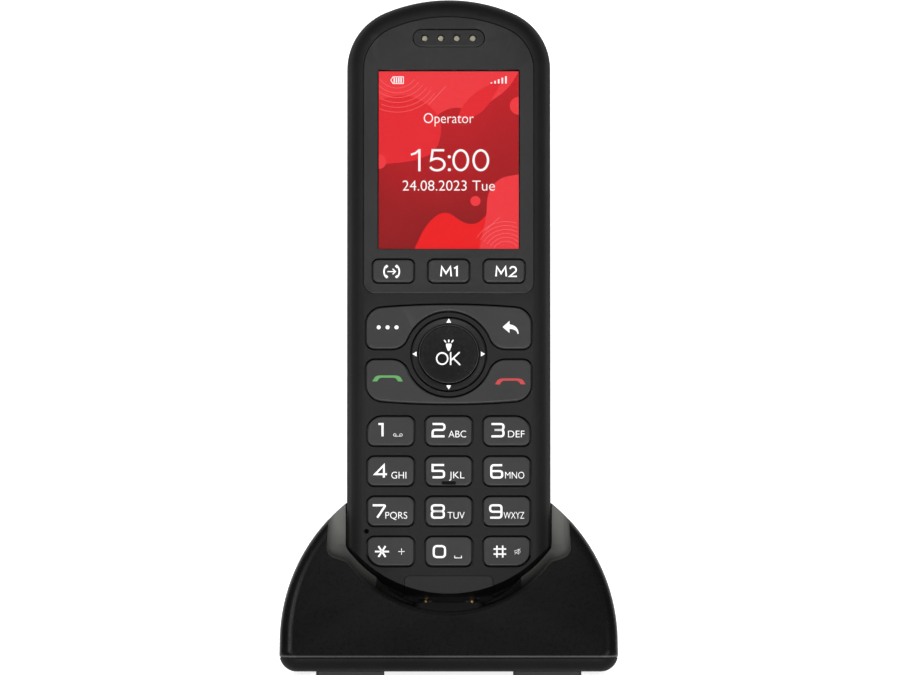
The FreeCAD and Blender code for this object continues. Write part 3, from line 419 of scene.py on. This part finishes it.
def decal(name, shapes, place, body, material, low=-0.02, high=PRINT_HEIGHT):
    """Flat shapes, in millimetres on a face, made into one thin piece that rides on a body: printing, the
    display's picture, and painted shade and highlights.
    """
    points = []
    faces = []
    for outline, outline_faces in shapes:
        start = len(points)
        size = len(outline)
        points += [Vector((x, y, high)) for x, y in outline]
        points += [Vector((x, y, low)) for x, y in outline]
        edges = {}
        for face in outline_faces:
            faces.append(tuple(start + i for i in face))
            faces.append(tuple(start + size + i for i in reversed(face)))
            for a, b in zip(face, face[1:] + face[:1]):
                edges[(a, b)] = edges.get((a, b), 0) + 1
        for a, b in edges:
            if (b, a) not in edges:
                faces.append((start + a, start + size + a, start + size + b, start + b))
    mesh = bpy.data.meshes.new(name)
    mesh.from_pydata([place @ (p * MM) for p in points], [], faces)
    mesh.validate()
    mesh.materials.append(material)
    piece = bpy.data.objects.new(name, mesh)
    bpy.context.scene.collection.objects.link(piece)
    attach(piece, body)
    return piece


def lettering(text, height, width, weight, x, y):
    """Letters as flat shapes, centred on x and standing on y: capitals of that height, a word of that width."""
    curve = bpy.data.curves.new("letters", "FONT")
    curve.body = text
    curve.align_x = "CENTER"
    curve.offset = weight
    curve.resolution_u = 6
    holder = bpy.data.objects.new("letters", curve)
    bpy.context.scene.collection.objects.link(holder)
    bpy.context.view_layer.update()
    mesh = bpy.data.meshes.new_from_object(holder.evaluated_get(bpy.context.evaluated_depsgraph_get()))
    bpy.data.objects.remove(holder)
    xs = [v.co.x for v in mesh.vertices]
    scale_y = height / FONT_CAPITAL
    scale_x = width / (max(xs) - min(xs))
    middle = (max(xs) + min(xs)) / 2
    points = [((v.co.x - middle) * scale_x + x, v.co.y * scale_y + y) for v in mesh.vertices]
    faces = [tuple(p.vertices) for p in mesh.polygons]
    bpy.data.meshes.remove(mesh)
    return points, faces


# ================================================================ digits and signs
def digit(name, width, height):
    """One big square-shouldered digit, drawn as strokes; its lower left corner is at the origin."""
    w = width - STROKE
    h = height - STROKE
    m = h * 0.52
    r = DIGIT_ROUND
    hook = [0, r, r, r, r, 0]
    upper_three = [(0, h), (w, h), (w, m), (w * 0.25, m)]
    lower_three = [(w * 0.25, m), (w, m), (w, 0), (0, 0)]
    lines = {
        "1": [([(0, h), (w, h), (w, 0)], 0, False)],
        "2": [([(0, h), (w, h), (w, m), (0, m), (0, 0), (w, 0)], [0, r, r, r, 0, 0], False)],
        "3": [(upper_three, r, False), (lower_three, r, False)],
        "4": [([(w * 0.74, 0), (w * 0.74, h), (0, h * 0.27), (w, h * 0.27)], 0, False)],
        "5": [([(w, h), (0, h), (0, m), (w, m), (w, 0), (0, 0)], [0, 0, 0, r, r, 0], False)],
        "6": [([(w, h), (0, h), (0, 0), (w, 0), (w, m), (0, m)], hook, False)],
        "7": [([(0, h), (w, h), (w * 0.36, 0)], [0, r * 0.6, 0], False)],
        "8": [([(0, h), (w, h), (w, m), (0, m)], r, True), ([(0, m), (w, m), (w, 0), (0, 0)], r, True)],
        "9": [([(0, 0), (w, 0), (w, h), (0, h), (0, h - m), (w, h - m)], hook, False)],
        "0": [([(0, h), (w, h), (w, 0), (0, 0)], r * 1.3, True)],
    }[name]
    shapes = [ribbon(softened(p, radius, closed), STROKE, closed) for p, radius, closed in lines]
    return moved(shapes, STROKE / 2, STROKE / 2)


def star():
    ends = [(1.85 * math.cos(a), 1.7 * math.sin(a)) for a in (0, math.pi / 3, 2 * math.pi / 3)]
    return [ribbon([(x, y), (-x, -y)], 0.47) for x, y in ends]


def hash_sign():
    bars = [ribbon([(x, -1.6), (x, 1.6)], 0.41) for x in (-0.75, 0.75)]
    return bars + [ribbon([(-1.65, y), (1.65, y)], 0.41) for y in (-0.68, 0.68)]


def plus():
    return [ribbon([(-0.85, 0), (0.85, 0)], 0.17), ribbon([(0, -0.85), (0, 0.85)], 0.17)]


def voicemail():
    loops = [ribbon(arc(x, 0.05, 0.34, 0, 342, 18), 0.11, True) for x in (-0.82, 0.82)]
    return loops + [ribbon([(-0.82, -0.29), (0.82, -0.29)], 0.11)]


def blank_sign():
    return [ribbon([(-0.88, 0.25), (-0.88, -0.35), (0.88, -0.35), (0.88, 0.25)], 0.2)]


def mute_sign():
    horn = [(-0.75, 0.28), (-0.3, 0.28), (0.35, 0.75), (0.35, -0.75), (-0.3, -0.28), (-0.75, -0.28)]
    lines = ([(-0.8, -0.85), (0.85, 0.85)], arc(0.1, 0, 0.7, -45, 45, 8))
    return [ribbon(horn, 0.1, True)] + [ribbon(line, 0.1) for line in lines]


def redial_sign():
    """Two receivers back to back with an arrow between them."""
    shapes = []
    for s in (-1, 1):
        shapes.append(ribbon([(s * x, y) for x, y in arc(-0.55, 0, 2.55, -36, 36, 14)], 0.40))
        shapes += [ribbon([(s * 1.62, t * 1.12), (s * 1.08, t * 1.62)], 0.66) for t in (-1, 1)]
    shapes.append(ribbon([(-1.1, 0), (0.95, 0)], 0.26))
    shapes.append(ribbon([(0.25, 0.75), (1.0, 0), (0.25, -0.75)], 0.28))
    return shapes


def memory_sign(number):
    """The letter M and a number, in one heavy stroke."""
    h = 3.0 - 0.43
    letter = ribbon([(0, 0), (0.22, h), (1.35, h * 0.3), (2.48, h), (2.7, 0)], 0.43)
    if number == 1:
        figure = ribbon([(3.45, h * 0.82), (4.2, h), (4.2, 0)], 0.43)
        width = 4.2
    else:
        bow = arc(4.45, h - 0.82, 0.82, 165, -35, 12)
        figure = ribbon(bow + [(3.55, 0), (5.45, 0)], 0.43)
        width = 5.45
    return moved([letter, figure], -width / 2, -h / 2)


def menu_sign():
    return [disc(x, 0, 0.53) for x in (-2.33, 0, 2.33)]


def back_sign():
    """An arrow that turns back to the left, its tail bending down and narrowing."""
    head = polygon([(-2.1, 0.08), (-0.3, 1.7), (-0.3, -1.5)])
    steps = 14
    turns = [math.pi / 2 * k / steps for k in range(steps + 1)]
    outer = [(-0.35 + 2.45 * math.sin(a), -1.75 + 2.5 * math.cos(a)) for a in turns]
    inner = [(-0.35 + 2.15 * math.sin(a), -1.75 + 1.35 * math.cos(a)) for a in turns]
    band = [(i, i + 1, steps + 2 + i, steps + 1 + i) for i in range(steps)]
    return [head, (outer + inner, band)]


def receiver_sign():
    """A receiver lying on its ends, as printed on the call and end keys."""
    top = softened([(-4.0, -0.75), (-3.1, 0.85), (3.1, 0.85), (4.0, -0.75)], [0, 1.2, 1.2, 0])
    low = softened([(-2.75, -0.75), (-2.1, 0.25), (2.1, 0.25), (2.75, -0.75)], [0, 0.6, 0.6, 0])
    count = len(top)
    return [(top + low, [(i, i + 1, count + i + 1, count + i) for i in range(count - 1)])]


def triangle(size, angle):
    corners = [math.radians(angle + turn) for turn in (0, 120, 240)]
    return polygon([(size * math.cos(a), size * math.sin(a)) for a in corners])


def torch_sign():
    bulb = [(-0.75, 0.4), (0.75, 0.4), (0.72, -0.25), (0.25, -1.5), (-0.25, -1.5), (-0.72, -0.25)]
    rays = [ribbon([(0, 0.78), (0, 1.45)], 0.32)]
    rays += [ribbon([(s * 0.72, 0.72), (s * 1.2, 1.38)], 0.3) for s in (-1, 1)]
    return [polygon(softened(bulb, [0.2, 0.2, 0.5, 0.2, 0.2, 0.5], True))] + rays


def ok_word():
    """The two capitals on the centre key, drawn in thin strokes."""
    h, t = 3.4, 0.36
    bowl = ellipse(-1.72, h / 2, 1.45, (h - t) / 2, 36)
    arms = [ribbon([(2.85, h), (0.62, h * 0.38)], t), ribbon([(1.15, h * 0.54), (2.98, 0)], t)]
    return [ribbon(bowl, t, True), ribbon([(0.5, 0), (0.5, h)], t)] + arms


def key_legends(white):
    """The printing on the number keys and the three keys below the display, and a painted shade bar over the
    nib of the 5 key.
    """
    extra = {"1": (voicemail(), 8.35, -1.15), "0": (blank_sign(), 8.95, -1.45)}
    for name, (left, width, letters, letters_left, letters_width) in NUMBER_PRINT.items():
        height = DIGIT_HEIGHT if name != "0" else 3.5
        low = -height / 2 + (0.17 if name in "123" else -0.12)
        shapes = moved(digit(name, width, height), left - KEY_HALF, low)
        if letters:
            middle = letters_left + letters_width / 2 - KEY_HALF
            shapes.append(lettering(letters, LETTER_HEIGHT, letters_width, -0.009, middle, low))
        if name in extra:
            sign, x, y = extra[name]
            shapes += moved(sign, x - KEY_HALF, y)
        decal("legend_" + name, shapes, face_of("key_" + name), "key_" + name, white)
    # painted shade: a dark bar drawn over the nib of the 5 key
    bar = softened([(-1.85, -3.7), (1.85, -3.7), (1.85, -2.8), (-1.85, -2.8)], 0.4, True)
    shadow = plastic("bar_shadow", (0.002, 0.002, 0.002), 0.7, specular=0.03)
    decal("key_5_nib_painted_shade", [polygon(bar)], face_of("key_5"), "key_5", shadow)
    others = {
        "key_star": moved(star(), -2.3, -0.1) + moved(plus(), 2.8, -0.1),
        "key_hash": moved(hash_sign(), -1.8, -0.1) + moved(mute_sign(), 2.8, -0.1, 0.9),
        "key_redial": moved(redial_sign(), -0.45, -0.2),
        "key_memory_1": moved(memory_sign(1), 0.05, -0.2),
        "key_memory_2": moved(memory_sign(2), 0.6, -0.2),
    }
    for body, shapes in others.items():
        decal(body.replace("key", "legend"), shapes, face_of(body), body, white)


def navigation_legends(white, green, red):
    place = face_of("rocker_upper")
    decal("legend_menu", moved(menu_sign(), -16.0, -0.2), place, "rocker_upper", white)
    decal("legend_back", moved(back_sign(), 16.2, -0.2), place, "rocker_upper", white)
    place = face_of("rocker_lower")
    decal("legend_call", moved(receiver_sign(), -16.0, 0.8), place, "rocker_lower", green)
    decal("legend_end", moved(receiver_sign(), 16.1, 0.0), place, "rocker_lower", red)
    place = face_of("nav_ring")
    for name, angle in (("right", 0), ("up", 90), ("left", 180), ("down", 270)):
        a = math.radians(angle)
        shape = moved([triangle(0.74, angle)], 8.78 * math.cos(a), 8.78 * math.sin(a))
        decal("legend_" + name, shape, place, "nav_ring", white, -0.25, 0.02)
    shapes = moved(ok_word(), 0, -2.95) + moved(torch_sign(), 0, 2.35)
    # painted highlight: a pale thin ring along the edge of the centre key
    rim = ellipse(0, 0, 7.72, 7.72, 72)
    rim_highlight_paint = plastic("ok_rim_painted_highlight", (0.03, 0.03, 0.03), 0.4)
    decal("ok_rim", [ribbon(rim, 0.12, True)], face_of("key_ok"), "key_ok", rim_highlight_paint, -0.3, 0.0)
    decal("legend_ok", shapes, face_of("key_ok"), "key_ok", white, -0.3, PRINT_HEIGHT)


# ================================================================ display
def clock_figures():
    """A time of day in thin round figures, standing on the line and centred across."""
    h, w, t = 5.95, 4.4, 0.6
    flag = [(0.0, h * 0.75), (1.2, h * 0.82), (2.1, h * 0.95)]
    one = [ribbon([(2.2, h), (2.2, 0)], t), ribbon(flag, t * 0.9)]
    bowl = [(x * 1.22, y) for x, y in arc(1.75, 1.85, 1.6, 128, -155, 24)]
    five = [ribbon([(4.0, h - t / 2), (1.0, h - t / 2), (0.6, h * 0.5)] + bowl, t)]
    dots = [disc(0, y, 0.42) for y in (0.42, 3.9)]
    zero = [ribbon(ellipse(w / 2, h / 2, (w - t) / 2, (h - t) / 2, 32), t, True)]
    figures = ((one, -9.9), (five, -5.2), (dots, 0.15), (zero, 0.95), (zero, 6.2))
    return [shape for figure, x in figures for shape in moved(figure, x, 0)]


def battery_sign():
    """A cell lying with its tip to the left, with four bars; the picture's upper edge is at y = 0."""
    case = [(-15.2, -2.4), (-14.6, -1.5), (-11.9, -1.5), (-11.9, -3.3), (-14.6, -3.3)]
    bars = [ribbon([(x, -1.7), (x, -3.1)], 0.34) for x in (-14.3, -13.7, -13.1, -12.5)]
    return [ribbon(case, 0.22, True)] + bars


def signal_sign():
    """Five bars that grow to the right, below the same edge."""
    bars = [(11.2 + 0.95 * k, -3.0 + 0.42 * k) for k in range(5)]
    return [ribbon([(x, -3.3), (x, top)], 0.42) for x, top in bars]


def display_picture():
    """The lit picture: its own generic waves and discs, status signs, a word, the time and the date."""
    across, inward, up = span("display_lens")
    place = face_of("display_lens", inward[1] + 0.06 * MM)
    half_w = (across[1] - across[0]) / MM / 2 - 0.15
    half_h = (up[1] - up[0]) / MM / 2 - 0.15

    def layer(name, shapes, material, level):
        high = level * LAYER_STEP
        decal(name, shapes, place, "handset", material, high - 0.01, high)

    def clip(points):
        return [(max(-half_w, min(half_w, x)), max(-half_h, min(half_h, y))) for x, y in points]

    def inside(points):
        return [(x, y) for x, y in points if abs(x) < half_w and abs(y) < half_h]

    glow = DISPLAY_GLOW
    back = gradient_ink("display_back", (0.58, 0.010, 0.016), (0.25, 0.006, 0.008), glow)
    whole = [(-half_w, -half_h), (half_w, -half_h), (half_w, half_h), (-half_w, half_h)]
    layer("picture_back", [polygon(whole)], back, 0)
    pale = ink("display_pale", (0.88, 0.040, 0.050), glow)
    mid = ink("display_mid", (0.80, 0.020, 0.028), glow)
    bright = ink("display_bright", (0.86, 0.010, 0.012), glow)
    faint = ink("display_faint", (0.92, 0.16, 0.17), glow)
    white = ink("display_white", (1.0, 0.96, 0.96), glow)

    top = softened(
        [(-half_w, half_h), (half_w, half_h), (half_w * 0.85, half_h * 0.8), (half_w * 0.4, half_h * 0.55),
         (-0.5, half_h * 0.62), (-half_w * 0.5, half_h * 0.25), (-half_w, half_h * 0.3)],
        [0, 0, 3, 6, 6, 5, 0], True)
    layer("picture_top", [polygon(clip(top))], pale, 1)
    lobe = softened(
        [(-half_w, half_h * 0.68), (-half_w * 0.55, half_h * 0.76), (-1.5, half_h * 0.5),
         (-2.5, half_h * 0.12), (-half_w * 0.45, -0.3), (-half_w, -1.2)],
        [0, 5, 5, 5, 5, 0], True)
    layer("picture_lobe", [polygon(clip(lobe))], mid, 2)
    wave = softened(
        [(2.0, half_h * 0.42), (9.0, half_h * 0.52), (14.5, half_h * 0.92), (8.0, half_h * 0.80),
         (3.5, half_h * 0.62)],
        [1, 4, 2, 4, 3], True)
    layer("picture_wave", [polygon(clip(wave))], mid, 3)
    hill = softened(
        [(-9.0, -half_h), (-6.0, -half_h * 0.72), (-1.0, -half_h * 0.55), (4.0, -half_h * 0.72),
         (7.5, -half_h * 0.72), (9.8, -half_h * 0.62), (9.8, -half_h)],
        [0, 4, 5, 4, 2, 0, 0], True)
    layer("picture_hill", [polygon(clip(hill))], bright, 2)
    right = softened(
        [(8.0, -half_h), (10.0, -half_h * 0.6), (10.0, -half_h * 0.38), (13.0, -half_h * 0.2),
         (half_w, -half_h * 0.16), (half_w, -half_h)],
        [0, 3, 4, 3, 0, 0], True)
    layer("picture_right", [polygon(clip(right))], pale, 3)
    drops = ((7.0, -11.0, 1.35), (half_w, 14.6, 2.4), (-half_w, -0.4, 2.0))
    layer("picture_discs", [polygon(clip(disc(x, y, radius)[0])) for x, y, radius in drops], pale, 4)
    rings = []
    for k in range(6):
        upper = arc(-13.5, half_h + 1.0, 5.5 + 1.3 * k, 215, 325, 24)
        lower = arc(15.0, -half_h - 1.5, 3.6 + 1.05 * k, 40, 150, 24)
        rings.append(ribbon(inside(upper), 0.10))
        rings.append(ribbon(inside(lower), 0.12))
    rings.append(ribbon([(9.6, -half_h + 5.0), (13.4, -half_h + 8.6)], 0.16))
    rings.append(ribbon([(-5.2, 15.0), (-0.8, 19.8)], 0.14))
    layer("picture_lines", rings, faint, 5)

    signs = moved(battery_sign() + signal_sign(), 0.0, half_h)
    signs.append(lettering("Operator", 2.75, 13.1, -0.008, 0.0, half_h - 13.95))
    signs += moved(clock_figures(), 0.0, half_h - 26.9)
    signs.append(lettering("24.08.2023 Tue", 2.8, 24.2, -0.006, 0.0, half_h - 32.1))
    layer("picture_signs", signs, white, 7)


def gradient_ink(name, top, bottom, glow):
    """Lit colour that darkens down the display."""
    material, tree, shader = new_material(name)
    place = add(tree, "ShaderNodeTexCoord")
    split = add(tree, "ShaderNodeSeparateXYZ", {0: place.outputs["Object"]})
    low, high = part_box("display_lens")[0][2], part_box("display_lens")[1][2]
    ripple = noise(tree, 45.0, 1.0)
    height = between(tree, split.outputs["Z"], 0, 1, low, high)
    drift = between(tree, ripple, -0.12, 0.12)
    shifted = add(tree, "ShaderNodeMath", {0: height, 1: drift}, operation="ADD")
    base = tint(tree, shifted.outputs[0], bottom, top)
    shader.inputs["Base Color"].default_value = (0.004, 0.004, 0.004, 1)
    tree.links.new(base, shader.inputs["Emission Color"])
    shader.inputs["Emission Strength"].default_value = glow
    shader.inputs["Specular IOR Level"].default_value = 0.0
    return material


# ================================================================ stand-in springs
def live_spring(side, steel):
    """A copy of a pin's spring that stands for it and rides on the base; the spring from the CAD is hidden."""
    name = "charge_spring_" + side
    mesh = NODES[name].data.copy()
    mesh.materials.clear()
    mesh.materials.append(steel)
    coil = bpy.data.objects.new("coil_" + side, mesh)
    coil.matrix_world = NODES[name].matrix_world
    bpy.context.scene.collection.objects.link(coil)
    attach(coil, "base")
    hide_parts(name)
    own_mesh(coil)


# ================================================================ materials of the CAD nodes
def dress_everything():
    key = plastic("key_satin", (0.0185, 0.0185, 0.0185), 0.45, 700.0, 0.10)
    numbers = [n for n in NODES if n.startswith("key_") and n != "key_ok"]
    dress(key, *numbers, "rocker_upper", "rocker_lower")
    # painted shade and painted highlight over the turned-over edge of the handset's face
    front = plastic(
        "housing_front", (0.0098, 0.0098, 0.0098), 0.55, 800.0, 0.12, specular=0.07, wear=0.06, painted_edge_shade=True)
    dress(front, "front_cover")
    rear = plastic("housing_rear", (0.011, 0.011, 0.0115), 0.52, 420.0, 0.35, specular=0.2)
    dress(rear, "rear_cover", "battery_cover")
    dress(plastic("fascia_satin", (0.0108, 0.0108, 0.0108), 0.36, 900.0, 0.06), "fascia_panel")
    # painted light: the chin is brighter below a height, where it faces into the shaded pocket
    chin = plastic(
        "chin_satin", (0.0056, 0.0056, 0.0056), 0.45, 800.0, 0.10, specular=0.2, painted_light_by_height=CHIN_UNDERSIDE_PAINTED_LIGHT)
    dress(chin, "contact_carrier")
    dress(plastic("grille_satin", (0.007, 0.007, 0.007), 0.4, 900.0, 0.08), "earpiece_grille")
    dress(plastic("ok_gloss", (0.0055, 0.0055, 0.0055), 0.24, 900.0, 0.05), "key_ok")
    dress(plastic("ring_gloss", (0.010, 0.010, 0.010), 0.42, 900.0, 0.05, specular=0.15), "nav_ring")
    # painted highlight: a pale line along the foot of the cradle's shell
    shell = plastic(
        "cradle_gloss", (0.0028, 0.0028, 0.0028), 0.3, 900.0, 0.03, specular=0.11, coat=0.02,
        painted_light_by_height=SHELL_FOOT_PAINTED_HIGHLIGHT)
    dress(shell, "base_shell")
    # painted shade: the lining darkens deep in the cradle's pocket
    lining = plastic(
        "cradle_satin", (0.10, 0.10, 0.094), 0.55, 600.0, 0.14, specular=0.15, painted_light_by_height=LINING_PAINTED_SHADE)
    dress(lining, "cradle_liner")
    dress(plastic("tray_grain", (0.003, 0.003, 0.003), 0.5, 380.0, 0.3, specular=0.08), "base_tray")
    dress(plastic("small_black", (0.018, 0.018, 0.018), 0.45, 500.0, 0.2), "nav_carrier", "antenna")
    dress(plastic("well_black", (0.007, 0.007, 0.007), 0.6, 500.0, 0.2, specular=0.08), "pin_block")
    # painted shade: the microphone behind its hole is made nearly black so the hole reads dark
    dress(plastic("mic_hole_painted_shade", (0.001, 0.001, 0.001), 0.7, 500.0, 0.2, specular=0.02), "microphone")
    dress(plastic("speaker_black", (0.02, 0.02, 0.022), 0.35, 300.0, 0.5), "loudspeaker")
    dress(metal("earpiece_mesh", (0.62, 0.56, 0.44), 0.5, (2, 1, 1)), "earpiece_speaker")
    dress(plastic("battery_wrap", (0.06, 0.065, 0.08), 0.3, 200.0, 0.05, coat=0.4), "battery")
    dress(plastic("white_film", (0.72, 0.72, 0.70), 0.4, 900.0, 0.05), "dome_sheet", "torch_led")
    dress(plastic("amber_film", (0.45, 0.2, 0.03), 0.3, 900.0, 0.05), "display_flex")
    dress(plastic("panel_black", (0.03, 0.006, 0.006), 0.25, 900.0, 0.03), "lcd_module")
    dress(rubber("foot_rubber", (0.012, 0.012, 0.012)), "base_feet")
    dress(rubber("gasket_foam", (0.02, 0.02, 0.02), 0.9), "display_gasket")
    dress(rubber("silicone", (0.6, 0.6, 0.58), 0.6), "keypad_mat")
    dress(board("circuit_board"), "main_pcb", "base_pcb")
    dress(metal("screw_steel", (0.55, 0.55, 0.56), 0.35, (1, 1, 3)), "handset_screws", "base_screws")
    steel = metal("drawn_steel", (0.62, 0.62, 0.64), 0.3, (1, 6, 1))
    dress(steel, "power_socket")
    for side in ("left", "right"):
        live_spring(side, steel)
    dress(metal("tinned_can", (0.66, 0.66, 0.66), 0.28, (4, 1, 1)), "shield_can", "sim_holder")
    # gold plating, painted darker than plated gold as shade down in the cradle's pocket
    dress(metal("pin_gold", (0.42, 0.29, 0.12), 0.4, (3, 3, 1)), "charge_pin_left", "charge_pin_right")
    dress(metal("contact_nickel", (0.7, 0.68, 0.64), 0.25, (3, 3, 1)), "handset_contacts", "battery_contacts")
    dress(clear_plastic("display_window", (1.0, 1.0, 1.0), 0.02), "display_lens")
    dress(clear_plastic("torch_window", (1.0, 1.0, 1.0), 0.1), "torch_lens")


# ================================================================ studio
def studio():
    """A pale sweep behind and below, soft lights, and the camera."""
    rows = [(-SWEEP_FRONT, 0.0), (SWEEP_BACK, 0.0)]
    for k in range(1, SWEEP_STEPS + 1):
        a = math.radians(90 * k / SWEEP_STEPS)
        rows.append((SWEEP_BACK + SWEEP_BEND * math.sin(a), SWEEP_BEND * (1 - math.cos(a))))
    rows.append((SWEEP_BACK + SWEEP_BEND, SWEEP_TOP))
    points = []
    for y, z in rows:
        points += [(-SWEEP_HALF, y, z), (SWEEP_HALF, y, z)]
    faces = [(2 * i, 2 * i + 1, 2 * i + 3, 2 * i + 2) for i in range(len(rows) - 1)]
    mesh = bpy.data.meshes.new("sweep")
    mesh.from_pydata(points, [], faces)
    for face in mesh.polygons:
        face.use_smooth = True
    material, tree, shader = new_material("sweep_paper")
    fibre = noise(tree, 40.0, 6.0)
    base = tint(tree, between(tree, fibre, 0, 1), (0.9, 0.9, 0.9), (0.93, 0.93, 0.93))
    tree.links.new(base, shader.inputs["Base Color"])
    tree.links.new(base, shader.inputs["Emission Color"])
    shader.inputs["Emission Strength"].default_value = PAPER_GLOW
    shader.inputs["Roughness"].default_value = 0.9
    # the paper is seen from its front only, so that the object can be looked at from behind it
    back = add(tree, "ShaderNodeNewGeometry").outputs["Backfacing"]
    clear = add(tree, "ShaderNodeBsdfTransparent").outputs[0]
    seen = add(tree, "ShaderNodeMixShader", {0: back, 1: shader.outputs[0], 2: clear})
    output = next(n for n in tree.nodes if n.type == "OUTPUT_MATERIAL")
    tree.links.new(seen.outputs[0], output.inputs[0])
    mesh.materials.append(material)
    sweep = bpy.data.objects.new("sweep", mesh)
    bpy.context.scene.collection.objects.link(sweep)

    world = bpy.data.worlds.new("studio")
    bpy.context.scene.world = world
    world.use_nodes = True
    world.node_tree.nodes["Background"].inputs[0].default_value = (1, 1, 1, 1)
    world.node_tree.nodes["Background"].inputs[1].default_value = WORLD_LIGHT

    for name, place, width, height, power in LIGHTS:
        light = bpy.data.lights.new(name, "AREA")
        light.shape = "RECTANGLE"
        light.size = width
        light.size_y = height
        light.energy = power
        lamp = bpy.data.objects.new(name, light)
        lamp.location = place
        lamp.rotation_euler = (Vector(LIGHT_AIM) - Vector(place)).to_track_quat("-Z", "Y").to_euler()
        lamp.visible_camera = False
        bpy.context.scene.collection.objects.link(lamp)

    camera = bpy.data.cameras.new("camera")
    camera.lens = CAMERA_LENS
    camera.sensor_width = CAMERA_SENSOR
    camera.clip_end = 50.0
    distance = VIEW_WIDTH * CAMERA_LENS / CAMERA_SENSOR
    aim = Vector(CAMERA_AIM)
    tip = math.radians(CAMERA_ELEVATION)
    holder = bpy.data.objects.new("camera", camera)
    holder.location = aim + Vector((0, -math.cos(tip), math.sin(tip))) * distance
    holder.rotation_euler = (math.radians(90) - tip, 0, 0)
    bpy.context.scene.collection.objects.link(holder)
    bpy.context.scene.camera = holder
    bpy.context.scene.view_settings.view_transform = "Standard"


dress_everything()
paint_white = ink("print_white", (0.88, 0.88, 0.88))
paint_green = ink("print_green", (0.075, 0.28, 0.07))
paint_red = ink("print_red", (0.42, 0.022, 0.026))
key_legends(paint_white)
navigation_legends(paint_white, paint_green, paint_red)
display_picture()
studio()
